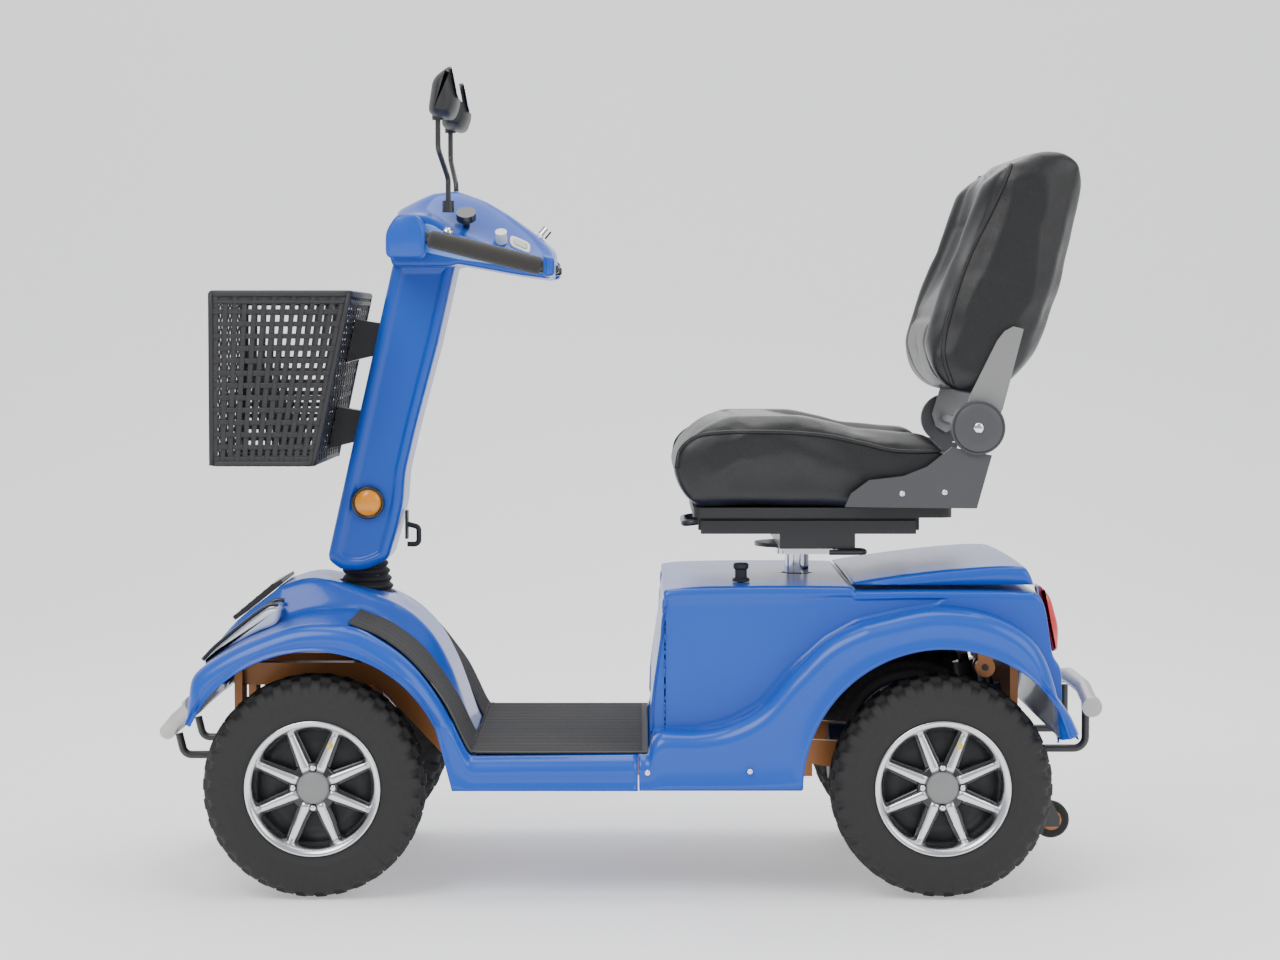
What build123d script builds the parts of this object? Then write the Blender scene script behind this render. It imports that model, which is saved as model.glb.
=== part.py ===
"""Four-wheel mobility scooter: frame, body shells, steering, suspension, tiller and seat.

Millimetres.  +Z is up, the front of the scooter points to -X, the rider's left is -Y, and the
origin is on the ground below the middle of the overall box.
"""
from build123d import *
import math
import os

# ---------------------------------------------------------------- overall sizes
WHEELBASE = 926.0
TRACK = 530.0                  # between the tyres' centre planes
BODY_WIDTH = 640.0
TYRE_RADIUS = 165.0
TYRE_WIDTH = 110.0
FRONT_AXLE_X = -457.0
FLOOR_Z = 214.0                # top of the floor pan, under the mat
SKIRT_Z = 163.0                # lower edge of the body shells
WALL = 4.0                     # moulded shells

# ---------------------------------------------------------------- running gear
KINGPIN_Y = 205.0
KINGPIN_RADIUS = 7.0
AXLE_RADIUS = 8.0
RIM_LIP_RADIUS = 92.0
BEAD_RADIUS = 78.0
SPOKES = 8
LUG_NUTS = 4
STEER_ARM = 50.0               # pitman arm and both knuckle arms
STEER_PIN_RADIUS = 4.0
COLUMN_X = -401.0              # vertical steering axis
COLUMN_RADIUS = 14.0
RAIL_Y = 70.0
RAIL_WIDTH = 30.0
RAIL_HEIGHT = 34.0
RAIL_Z = 152.0                 # underside of the floor rails
WELL_GAP = 43.0                # wheel well outside the tyre
ARCH_GAP = 36.0                # visible arch lip outside the tyre
SWING_PIVOT = (225.0, 201.0)   # rear suspension pivot, X and Z
SWING_PIN_RADIUS = 9.0
SHOCK_Y = 165.0
SHOCK_ROD_RADIUS = 6.0
ANTI_TIP = (653.0, 89.0)       # anti-tip wheel centre, X and Z
ANTI_TIP_RADIUS = 28.0
ANTI_TIP_Y = 115.0
BUMPER_RADIUS = 12.0
BUMPER_HALF = 200.0
STAY_RADIUS = 6.0
STAY_FRONT_Y = 100.0
STAY_LOW = 186.0               # height of the front stays' lower run

# ---------------------------------------------------------------- tiller
TILT_PIVOT = (-397.0, 455.0)
TILLER_LEAN = 12.7             # degrees, rearward
TILT_PIN_RADIUS = 6.0
FORK_IN = 22.0                 # tilt fork cheeks, inner and outer faces
FORK_OUT = 29.0
TILLER_TUBE = 18.0
COVER_HALF = 70.0
HANDLE_RADIUS = 9.5
GRIP_RADIUS = 14.0
GRIP_Y = 170.0
MIRROR_Y = 150.0
MIRROR_STEM_RADIUS = 4.0
BASKET_WIDTH = 360.0
BASKET_WALL = 5.0

# ---------------------------------------------------------------- seat
POST_X = 269.0
POST_RADIUS = 19.0
SOCKET_WALL = 4.0
SEAT_WIDTH = 460.0
BACK_WIDTH = 446.0
PIPING = 2.0                   # stands out on each side of a cushion
RECLINE_PIVOT = (525.0, 693.0)
RECLINER_Y = 240.0
RECLINER_RADIUS = 40.0

# ---------------------------------------------------------------- clearances
RUN = 0.06                     # radial, shaft in hole
GAP = 0.5                      # between neighbours on one body
FREE = 1.5                     # between bodies that pass each other

AXLE_Z = TYRE_RADIUS
REAR_AXLE_X = FRONT_AXLE_X + WHEELBASE
HALF_TRACK = TRACK / 2
HALF_BODY = BODY_WIDTH / 2
SEAM_X = 21.0                  # joint between the front and rear shells


# ---------------------------------------------------------------- helpers
def block(x0, x1, y0, y1, z0, z1):
    """Rectangular block between two corners."""
    middle = Pos((x0 + x1) / 2, (y0 + y1) / 2, (z0 + z1) / 2)
    return middle * Box(abs(x1 - x0), abs(y1 - y0), abs(z1 - z0))


def rod(start, end, radius):
    """Round bar from one point to another."""
    axis = Vector(*end) - Vector(*start)
    plane = Plane(origin=start, z_dir=axis)
    return extrude(plane * Circle(radius), amount=axis.length)


def sleeve(start, end, outer, inner):
    """Round tube from one point to another."""
    axis = Vector(*end) - Vector(*start)
    plane = Plane(origin=start, z_dir=axis)
    return extrude(plane * (Circle(outer) - Circle(inner)), amount=axis.length)


def bent(points, radius, bend):
    """Round bar along straight runs joined by arcs."""
    path = FilletPolyline(*points, radius=bend)
    section = Plane(origin=path @ 0, z_dir=path % 0) * Circle(radius)
    return sweep(section, path=path)


def outline(points):
    """Closed outline as a flat face that always faces the same way."""
    area = sum(a[0] * b[1] - b[0] * a[1] for a, b in zip(points, points[1:] + points[:1]))
    ordered = points if area > 0 else points[::-1]
    return Polygon(*ordered, align=None)


def prism(points, y0, y1, inset=0.0):
    """Side outline (X, Z) carried from y0 to y1, shrunk by inset."""
    plane = Plane(origin=(0, y1, 0), x_dir=(1, 0, 0), z_dir=(0, -1, 0))
    face = outline(points)
    if inset:
        face = offset(face, amount=-inset, kind=Kind.INTERSECTION)
    return extrude(plane * face, amount=y1 - y0)


def spun(points, centre, outward=1):
    """Outline (radius, offset along Y) turned about the Y axis through centre."""
    flat = [(r, outward * y) for r, y in points]
    face = Pos(*centre) * outline(flat)
    return revolve(face, axis=Axis(centre, (0, 1, 0)))


def upright(points, centre):
    """Outline (radius, height) turned about the vertical axis through centre."""
    plane = Plane(origin=centre, x_dir=(1, 0, 0), z_dir=(0, -1, 0))
    return revolve(plane * outline(points), axis=Axis(centre, (0, 0, 1)))


def mirrored(shape):
    """The same piece on the other side of the scooter."""
    return mirror(shape, about=Plane.XZ)


def both_sides(shape):
    return [shape, mirrored(shape)]


def front(x, z):
    """A side-view point given from the front axle's X."""
    return (FRONT_AXLE_X + x, z)


def rear(x, z):
    """A side-view point given from the rear axle's X."""
    return (REAR_AXLE_X + x, z)


def save(name, *shapes):
    """Write one node; separate pieces stay separate solids."""
    solids = []
    for shape in shapes:
        solids.extend(shape.solids())
    piece = solids[0] if len(solids) == 1 else Compound(children=solids)
    export_step(piece, "parts/" + name + ".step")


# ================================================================ derived sizes and outlines
RAIL_INNER = RAIL_Y - RAIL_WIDTH / 2
RAIL_OUTER = RAIL_Y + RAIL_WIDTH / 2
RAIL_FRONT_X = FRONT_AXLE_X + 207
RAIL_RISE_X = FRONT_AXLE_X + 77
RAIL_NOSE_X = FRONT_AXLE_X - 128
RAIL_TAIL_X = REAR_AXLE_X - 190
HEAD_Z = 292.0                 # raised front part of the rails
SWING_X, SWING_Z = SWING_PIVOT
LUG_RADIUS = SWING_PIN_RADIUS + 7.0
POST_SOCKET = (POST_X, 0, 250.0)
POST_SOCKET_TOP = 449.0
SOCKET_OUTER = POST_RADIUS + RUN + SOCKET_WALL
REAR_PLATE_X = REAR_AXLE_X + 131
SHOCK_TOP = (REAR_AXLE_X + 75, 330.0)
EYE_RADIUS = KINGPIN_RADIUS + 8.0
EYE_BORE = KINGPIN_RADIUS + RUN
BEAM_HALF = KINGPIN_Y - EYE_RADIUS + 4
BEAM_LOW = AXLE_Z + 4.0
BEAM_TOP = AXLE_Z + 38.0
BATTERY = (175.0, 150.0)       # height, width across
BATTERY_X = (SEAM_X + 62, POST_X - 70)
ARCH_FRONT = TYRE_RADIUS + ARCH_GAP
ARCH_REAR = TYRE_RADIUS + ARCH_GAP + 4
WELL = TYRE_RADIUS + WELL_GAP
TUNNEL_HALF = 104.0            # between the front wheel wells
HUMP_HALF = 96.0
COLUMN_HOLE = 44.0             # round opening under the bellows
FENDER_FRONT = [
    front(-183, 292), front(-176, 330), front(-146, 356), front(-93, 384), front(-21, 408),
    front(52, 408), front(101, 387), front(149, 349), front(192, 290), front(226, FLOOR_Z + 8),
    front(240, FLOOR_Z), (SEAM_X, FLOOR_Z), (SEAM_X, SKIRT_Z), front(213, SKIRT_Z),
    front(190, 262), front(-150, 262),
]
HUMP = [
    front(-186, 316), front(-180, 340), front(-142, 388), front(-82, 436), front(-66, 447),
    front(-9, 456), front(94, 424), front(151, 384), front(190, 322), front(226, FLOOR_Z + 8),
    front(190, 262), front(-150, 262),
]
MAT_Z = FLOOR_Z + 5
MAT_HALF = HALF_BODY - 25
BOX_HALF = 262.0
SEAM_BACK = SEAM_X + GAP
SEAT_BOX = [
    (SEAM_BACK, FLOOR_Z), (SEAM_X + 18, FLOOR_Z), (SEAM_X + 22, 300), (SEAM_X + 34, 391),
    (SEAM_X + 40, 438), (SEAM_X + 62, 456), (POST_X + 50, 458), rear(-124, 452),
    rear(-20, 452), rear(110, 450), rear(150, 440), rear(166, 361), rear(179, 332),
    rear(180, 242), rear(176, 233), rear(150, 233), rear(-150, 233), rear(-209, SKIRT_Z),
    (SEAM_BACK, SKIRT_Z),
]
WING_REAR = [
    (SEAM_BACK, FLOOR_Z), (SEAM_X + 18, FLOOR_Z), (SEAM_X + 22, 246), rear(-250, 250),
    rear(-203, 333), rear(-157, 380), rear(-101, 410), rear(-31, 427), rear(20, 428),
    rear(75, 417), rear(122, 392), rear(149, 357), rear(168, 300), rear(176, 233),
    rear(150, 215), rear(-190, 190), rear(-209, SKIRT_Z), (SEAM_BACK, SKIRT_Z),
]
WELL_INNER = 200.0
KNOB = (POST_X - 93, -178.0)
KNOB_STEM = 5.0
COVER_Z = 459.0                # underside of the rear deck cover
DECK_COVER = [
    rear(-128, COVER_Z), rear(-122, 463), rear(-28, 479), rear(72, 489), rear(121, 489),
    rear(136, 479), rear(142, COVER_Z),
]
SWING_Y = RAIL_OUTER + 12 + 2 * GAP + 12
TUBE_OUTER = 20.0
SHOCK_FOOT = (REAR_AXLE_X + 100, AXLE_Z + 36)
HUB_RADIUS = 30.0
STUB_REACH = 24.0              # front stub axle past the wheel's middle
SPOKE_HALF = 4.5
ARM_Z = BEAM_LOW - 22.0
ROD_EYE = 11.0
TAIL_PLATE_TOP = 250.0
FRONT_BAR_X = FRONT_AXLE_X - 250
REAR_BAR_X = REAR_AXLE_X + 238
SIDES = {"left": -1, "right": 1}
PIVOT_X, PIVOT_Z = TILT_PIVOT
LEAN_X = math.sin(math.radians(TILLER_LEAN - 2))
LEAN_Z = math.cos(math.radians(TILLER_LEAN - 2))
HEAD_HALF = 120.0
HOOK_X = -346.0
COVER_PROFILE = [
    (-459, 484), (-358, 930), (-259, 930), (-287, 816), (-321, 689), (-338, 617), (-341, 572),
    (-350, 532), (-364, 485), (-380, 476), (-404, 467), (-437, 467),
]
RIDGE_HALF = 30.0
HEAD_PROFILE = [
    (-362, 955), (-350, 1022), (-317, 1039), (-294, 1049), (-257, 1052), (-215, 1037), (-180, 1017),
    (-140, 989), (-108, 962), (-105, 948), (-114, 917), (-160, 925), (-254, 946), (-262, 932), (-356, 932),
]
HEAD_SIDE = [
    (-358, 955), (-346, 1004), (-317, 1014), (-294, 1010), (-257, 986), (-215, 968), (-180, 955),
    (-140, 943), (-109, 936), (-106, 928), (-114, 915), (-160, 921), (-254, 938), (-262, 934), (-352, 934),
]
SLOPE_Z = 0.71                 # fall of the console's side per unit of width
MIRROR_IN = 100.0
CLAMP_X = -268.0
CLAMP_Z = 1018.0
FLANK = (0.0, -SLOPE_Z / math.hypot(1, SLOPE_Z), 1 / math.hypot(1, SLOPE_Z))
HORN = (-188.0, -92.0, 982.0)
DIAL = (-241.0, -92.0, 1005.0)
KEY = (-130.0, 0.0, 981.5)
KEY_AXIS = (0.645, 0.0, 0.764)
THROTTLE = (-160.0, 108.0, 936.0)
GRIP_FRONT = (-299.0, 977.0)
GRIP_REAR = (-116.0, 931.0)
GRIP_SOCKETS = ((-306.0, 12.0), (-112.0, -12.0))   # mouth of each socket and its depth
MIRROR_PIVOT_Z = 1146.0
BASKET_PROFILE = [(-622, 632), (-622, 895), (-410, 895), (-466, 632)]
SWIVEL_Z = 491.0
RAIL_SLIDE_Y = 150.0
SWIVEL_LEVER = (POST_X + 60, -64)
CUSHION_PROFILE = [
    (63, 633), (74, 600), (90, 578), (140, 573.5), (478, 573.5), (489, 600), (488, 660), (471, 674),
    (413, 676), (344, 685), (280, 699), (225, 706), (166, 704), (116, 693), (80, 668),
]
BACK_PROFILE = [
    (452, 793), (481, 894), (528, 1013), (550, 1072), (574, 1091), (601, 1098), (619, 1108),
    (656, 1109), (683, 1091), (683, 1082), (665, 990), (647, 904), (626, 843), (600, 784),
    (566, 748), (537, 734), (510, 738), (486, 742), (459, 768),
]
ARM_Y = (224.0, 230.5)
COVER_Y = (RECLINER_Y - 8, RECLINER_Y)

os.makedirs("parts", exist_ok=True)


# ================================================================ frame


def frame_rail():
    """Floor rail that climbs at the front, with its bumper bracket and suspension lug."""
    low = RAIL_Z
    high = HEAD_Z
    profile = [
        (RAIL_TAIL_X, low),
        (RAIL_TAIL_X, low + RAIL_HEIGHT),
        (RAIL_FRONT_X + 12, low + RAIL_HEIGHT),
        (RAIL_RISE_X + 12, high + RAIL_HEIGHT),
        (RAIL_NOSE_X, high + RAIL_HEIGHT),
        (RAIL_NOSE_X, high),
        (RAIL_RISE_X, high),
        (RAIL_FRONT_X, low),
    ]
    rail = prism(profile, RAIL_INNER, RAIL_OUTER)
    bracket = block(RAIL_NOSE_X - 12, RAIL_NOSE_X, RAIL_INNER, STAY_FRONT_Y + 12, STAY_LOW - 11, high + 34)
    lug = rod((SWING_X, RAIL_INNER, SWING_Z), (SWING_X, RAIL_OUTER, SWING_Z), LUG_RADIUS)
    bore = rod((SWING_X, RAIL_INNER - 1, SWING_Z), (SWING_X, RAIL_OUTER + 1, SWING_Z),
               SWING_PIN_RADIUS + RUN)
    hole = rod((RAIL_NOSE_X - 20, STAY_FRONT_Y, STAY_LOW), (RAIL_NOSE_X + 9, STAY_FRONT_Y, STAY_LOW),
               STAY_RADIUS + GAP)
    return rail + bracket + lug - bore - hole


def frame_cross_members():
    """Cross tubes between the rails, the battery tray and the seat tower with its post socket."""
    across = RAIL_INNER - GAP
    bars = []
    for x in (RAIL_FRONT_X + 60, POST_X - 105):
        bars.append(block(x - 14, x + 14, -across, across, RAIL_Z + 4, RAIL_Z + 28))
    socket = sleeve(POST_SOCKET, (POST_X, 0, POST_SOCKET_TOP), SOCKET_OUTER, POST_RADIUS + RUN)
    bridge = block(POST_X - 20, POST_X + 20, -RAIL_OUTER, RAIL_OUTER, 396, 420)
    bridge -= rod((POST_X, 0, 380), (POST_X, 0, 440), SOCKET_OUTER)
    legs = []
    for side in (-1, 1):
        y0 = side * (RAIL_OUTER + GAP)
        y1 = side * (RAIL_OUTER + GAP + 12)
        legs.append(block(POST_X - 20, POST_X + 20, y0, y1, RAIL_Z, 420))
    tower = socket + bridge
    for leg in legs:
        tower += leg
    for side in (-1, 1):
        y0 = side * (RAIL_OUTER - 7)
        y1 = side * (RAIL_OUTER + GAP + 12)
        tower += block(POST_X, REAR_PLATE_X, y0, y1, 396, 420)
        eye_y = side * SHOCK_Y
        top = rod((SHOCK_TOP[0], eye_y - 21, SHOCK_TOP[1]), (SHOCK_TOP[0], eye_y + 21, SHOCK_TOP[1]), 15)
        drop = block(SHOCK_TOP[0] - 11, SHOCK_TOP[0] + 11, y0, side * (SHOCK_Y + 21), SHOCK_TOP[1] + 8, 420)
        slot = block(SHOCK_TOP[0] - 26, SHOCK_TOP[0] + 26, eye_y - 13, eye_y + 13, 290, SHOCK_TOP[1] + 27)
        bolt_hole = rod((SHOCK_TOP[0], eye_y - 30, SHOCK_TOP[1]), (SHOCK_TOP[0], eye_y + 30, SHOCK_TOP[1]), 5)
        tower = tower + top + drop - slot - bolt_hole
    plate_half = ANTI_TIP_Y + 18
    tower += block(REAR_PLATE_X - 12, REAR_PLATE_X, -plate_half, plate_half, 128, 420)
    return bars + [tower]


def front_subframe():
    """Steering head tube with its gussets, and the front axle beam with kingpin eyes."""
    head_bore = COLUMN_RADIUS + RUN
    head = sleeve((COLUMN_X, 0, 232), (COLUMN_X, 0, 398), COLUMN_RADIUS + 9, head_bore)
    reach = RAIL_INNER - GAP
    plate = block(COLUMN_X - 62, COLUMN_X + 40, -reach, reach, HEAD_Z + 4, HEAD_Z + 12)
    plate -= rod((COLUMN_X, 0, HEAD_Z), (COLUMN_X, 0, HEAD_Z + 20), COLUMN_RADIUS + 9)
    hanger = block(FRONT_AXLE_X - 16, FRONT_AXLE_X + 16, -18, 18, BEAM_TOP, HEAD_Z + 8)
    beam = block(FRONT_AXLE_X - 16, FRONT_AXLE_X + 16, -BEAM_HALF, BEAM_HALF, BEAM_LOW, BEAM_TOP)
    result = head + plate + hanger + beam
    for side in (-1, 1):
        y = side * KINGPIN_Y
        eye = rod((FRONT_AXLE_X, y, BEAM_LOW), (FRONT_AXLE_X, y, BEAM_TOP), EYE_RADIUS)
        bore = rod((FRONT_AXLE_X, y, BEAM_LOW - 9), (FRONT_AXLE_X, y, BEAM_TOP + 9), EYE_BORE)
        result = result + eye - bore
    return result


def batteries():
    """Two sealed batteries standing side by side on the rails, under the seat box."""
    height, width = BATTERY
    low = RAIL_Z + RAIL_HEIGHT + GAP
    x0, x1 = BATTERY_X
    one = block(x0, x1, 3, 3 + width, low, low + height)
    one = fillet(one.edges().filter_by(Axis.Z), 6)
    pole = rod((x0 + 20, 3 + width / 2, low + height), (x0 + 20, 3 + width / 2, low + height + 9), 6)
    one += pole
    return both_sides(one)


# ================================================================ body shells


def hollowed(points, half, inset=WALL):
    """Side outline across the full width, as a shell open underneath."""
    outer = prism(points, -half, half)
    inner = prism(points, -half + inset, half - inset, inset)
    return outer, inner + Pos(0, 0, -2 * inset) * inner


def wheel_well(x, radius, inner, outer):
    """Round space for a wheel on each side."""
    wells = []
    for side in (-1, 1):
        wells.append(rod((x, side * inner, AXLE_Z), (x, side * outer, AXLE_Z), radius))
    return wells


def front_body_shell():
    """Front wings, bonnet hump and floor pan in one moulding."""
    wings, wings_inside = hollowed(FENDER_FRONT, HALF_BODY)
    hump, hump_inside = hollowed(HUMP, HUMP_HALF)
    shell = wings + hump - wings_inside - hump_inside
    lip = HALF_BODY - WALL - 4
    for cut in wheel_well(FRONT_AXLE_X, WELL, TUNNEL_HALF, lip):
        shell -= cut
    for cut in wheel_well(FRONT_AXLE_X, ARCH_FRONT, TUNNEL_HALF, HALF_BODY + 5):
        shell -= cut
    shell -= rod((COLUMN_X, 0, 380), (COLUMN_X, 0, 480), COLUMN_HOLE)
    open_below = [front(-150, 200), front(-150, 272), front(184, 272), front(222, 206), front(222, 150),
                  front(150, 150)]
    shell -= prism(open_below, -HALF_BODY + WALL, HALF_BODY - WALL)
    shell -= block(SEAM_X - 5, SEAM_X + 1, -HALF_BODY + 5, HALF_BODY - 5, 150, FLOOR_Z - WALL)
    shell -= block(front(-220, 0)[0], front(-150, 0)[0], -HALF_BODY, HALF_BODY, 200, 291)
    return shell


def front_grille():
    """Black louvred panel on the nose of the bonnet."""
    profile = [
        front(-141, 390), front(-82, 437), front(-68, 448), front(-70, 453), front(-86, 444),
        front(-145, 395),
    ]
    panel = prism(profile, -HUMP_HALF + 14, HUMP_HALF - 14)
    for step in range(5):
        x, z = front(-132 + step * 12, 402 + step * 9.4)
        panel -= block(x - 3, x + 3, -HUMP_HALF + 24, HUMP_HALF - 24, z, z + 12)
    return Pos(-1, 0, 1.5) * panel


def headlight():
    """Wedge lamp on the front corner of the wing."""
    profile = [
        front(-174, 333), front(-146, 357), front(-93, 385), front(-66, 394), front(-62, 421),
        front(-84, 418), front(-150, 366), front(-177, 340),
    ]
    return Pos(0, 0, 1) * prism(profile, HUMP_HALF + 12, HUMP_HALF + 92)


def floor_mat():
    """Ribbed rubber mat on the floor pan, with two flaps up the back of the wings."""
    x0, _ = front(242, 0)
    slope = [front(52, 408), front(101, 387), front(149, 349), front(192, 290), front(226, FLOOR_Z + 8),
             front(240, FLOOR_Z), (SEAM_X + 16, FLOOR_Z)]
    under = [(x + 0.4, z + 0.5) for x, z in slope]
    under[-1] = (slope[-1][0], FLOOR_Z + 0.5)
    over = [(x + 4, z + 5) for x, z in slope]
    over[-1] = (slope[-1][0], MAT_Z)
    mat = prism(under + over[::-1], -MAT_HALF, MAT_HALF)
    mat -= block(front(0, 0)[0], front(228, 0)[0], -HUMP_HALF - 3, HUMP_HALF + 3, FLOOR_Z, 440)
    ribs = 9
    pitch = (SEAM_X + 6 - x0) / ribs
    for row in range(ribs):
        x = x0 + pitch * (row + 0.6)
        mat -= block(x - 2, x + 2, -MAT_HALF + 12, MAT_HALF - 12, MAT_Z - 1.5, MAT_Z + 1)
    return mat


def rear_body_shell():
    """Seat box and rear wings in one moulding, with the post hole in its top."""
    wings, wings_inside = hollowed(WING_REAR, HALF_BODY)
    seat_box, box_inside = hollowed(SEAT_BOX, BOX_HALF)
    shell = seat_box + wings - wings_inside - box_inside
    shell -= block(SEAM_X - 5, SEAM_X + 10, -HALF_BODY + 5, HALF_BODY - 5, 150, FLOOR_Z - WALL)
    lip = HALF_BODY - WALL - 4
    for cut in wheel_well(REAR_AXLE_X, WELL, WELL_INNER, lip):
        shell -= cut
    for cut in wheel_well(REAR_AXLE_X, ARCH_REAR, WELL_INNER, HALF_BODY + 5):
        shell -= cut
    shell -= rod((POST_X, 0, 420), (POST_X, 0, 480), SOCKET_OUTER + FREE)
    shell -= rod(KNOB + (430,), KNOB + (470,), KNOB_STEM + RUN)
    return shell


def rear_deck_cover():
    """Lift-off cover over the rear wings."""
    outer = prism(DECK_COVER, -BOX_HALF + 22, BOX_HALF - 22)
    inner = prism(DECK_COVER, -BOX_HALF + 26, BOX_HALF - 26, WALL)
    cover = outer - inner - Pos(0, 0, -2 * WALL) * inner
    return Pos(1, 0, 0) * cover


def tail_light():
    """Wedge lamp on the rear corner."""
    profile = [
        rear(168, 358), rear(176, 362), rear(177, 396), rear(165, 440), rear(151, 457),
        rear(149, 454), rear(152, 441),
    ]
    return Pos(1.5, 0, 0) * prism(profile, 160, 236)


def deck_lock_knob():
    """Lock knob on the seat box, turned a quarter turn."""
    stem = rod(KNOB + (434,), KNOB + (461,), KNOB_STEM)
    head = upright([(0, 0), (13, 0), (13, 4), (9, 6), (9, 18), (11.5, 20), (11.5, 26), (9, 28), (0, 28)],
                   KNOB + (458 + FREE,))
    return stem + head


save("left_frame_rail", mirrored(frame_rail()))
save("right_frame_rail", frame_rail())
save("frame_cross_members", *frame_cross_members())
save("front_subframe", front_subframe())
save("batteries", *batteries())
save("front_body_shell", front_body_shell())
save("front_grille", front_grille())
save("headlights", *both_sides(headlight()))
save("floor_mat", floor_mat())
save("rear_body_shell", rear_body_shell())
save("rear_deck_cover", rear_deck_cover())
save("tail_lights", *both_sides(tail_light()))
save("deck_lock_knob", deck_lock_knob())


# ================================================================ suspension and wheels


def swing_arm():
    """Two trailing plates on one pivot pin, with the shock absorber rods standing on them."""
    pin = rod((SWING_X, -SWING_Y - 12, SWING_Z), (SWING_X, SWING_Y + 12, SWING_Z), SWING_PIN_RADIUS)
    profile = [
        (SWING_X - 14, SWING_Z - 14), (SWING_X - 14, SWING_Z + 14), (REAR_AXLE_X + 112, AXLE_Z + 34),
        (REAR_AXLE_X + 112, AXLE_Z + 22), (REAR_AXLE_X + 18, AXLE_Z + 22), (REAR_AXLE_X - 30, AXLE_Z + 21),
        (REAR_AXLE_X - 60, AXLE_Z - 10),
    ]
    arm = pin
    rods = []
    for side in (-1, 1):
        y0, y1 = sorted((side * SWING_Y, side * (SWING_Y + 12)))
        arm += prism(profile, y0, y1)
        foot_x, foot_z = SHOCK_FOOT
        y_out = side * (SHOCK_Y + 14)
        arm += block(foot_x - 22, foot_x + 12, side * SWING_Y, y_out, foot_z - 14, foot_z - 2)
        rods.append(rod((foot_x, side * SHOCK_Y, foot_z - 2 + GAP), shock_rod_top(side), SHOCK_ROD_RADIUS))
    return [arm] + rods


def along_shock(distance, side):
    """A point on the shock absorber's line, from its foot towards its top eye."""
    foot_x, foot_z = SHOCK_FOOT
    top_x, top_z = SHOCK_TOP
    span = math.hypot(top_x - foot_x, top_z - foot_z)
    share = distance / span
    return (foot_x + (top_x - foot_x) * share, side * SHOCK_Y, foot_z + (top_z - foot_z) * share)


def shock_rod_top(side):
    return along_shock(70, side)


def shock_absorbers():
    """Upper halves of the shock absorbers: eye, damper body and spring seat."""
    pieces = []
    for side in (-1, 1):
        top_x, top_z = SHOCK_TOP
        y = side * SHOCK_Y
        body = sleeve(along_shock(34, side), along_shock(104, side), 19, SHOCK_ROD_RADIUS + 2.5)
        eye = rod((top_x, y - 12, top_z), (top_x, y + 12, top_z), 13)
        neck = rod(along_shock(100, side), (top_x, y, top_z), 9)
        bolt = rod((top_x, y - 24, top_z), (top_x, y + 24, top_z), 5 - RUN)
        pieces.append(body + eye + neck + bolt)
    return pieces


def transaxle():
    """Gearbox with axle tubes, and the motor in front of it."""
    case = block(REAR_AXLE_X - 62, REAR_AXLE_X + 52, -66, 66, AXLE_Z - 52, AXLE_Z + 62)
    case = fillet(case.edges().filter_by(Axis.Y), 22)
    case += rod((REAR_AXLE_X - 150, 0, AXLE_Z + 14), (REAR_AXLE_X - 40, 0, AXLE_Z + 14), 44)
    tube_end = HALF_TRACK - 60
    case += rod((REAR_AXLE_X, -tube_end, AXLE_Z), (REAR_AXLE_X, tube_end, AXLE_Z), TUBE_OUTER)
    case -= rod((REAR_AXLE_X, -tube_end - 1, AXLE_Z), (REAR_AXLE_X, -72, AXLE_Z), AXLE_RADIUS + RUN)
    case -= rod((REAR_AXLE_X, 72, AXLE_Z), (REAR_AXLE_X, tube_end + 1, AXLE_Z), AXLE_RADIUS + RUN)
    return case


def tyre(x, side):
    """Hollow pneumatic tyre with rounded shoulders."""
    wide = TYRE_WIDTH / 2
    outer = [
        (BEAD_RADIUS + 0.4, wide - 31), (BEAD_RADIUS + 1, wide - 20), (RIM_LIP_RADIUS - 1.4, wide - 15.5),
        (RIM_LIP_RADIUS + 1.6, wide - 11), (112, wide - 3), (TYRE_RADIUS - 36, wide),
        (TYRE_RADIUS - 16, wide - 4), (TYRE_RADIUS - 5, wide - 14), (TYRE_RADIUS, wide - 28),
    ]
    inner = [
        (TYRE_RADIUS - 10, wide - 30), (TYRE_RADIUS - 20, wide - 14), (TYRE_RADIUS - 38, wide - 8),
        (112, wide - 11), (BEAD_RADIUS + 3, wide - 31),
    ]
    half = outer + inner
    flipped = [(r, -y) for r, y in half]
    section = outer + [(r, -y) for r, y in outer[::-1]] + flipped[len(outer):][::-1] + inner
    return spun(section, (x, side * HALF_TRACK, AXLE_Z))


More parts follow.
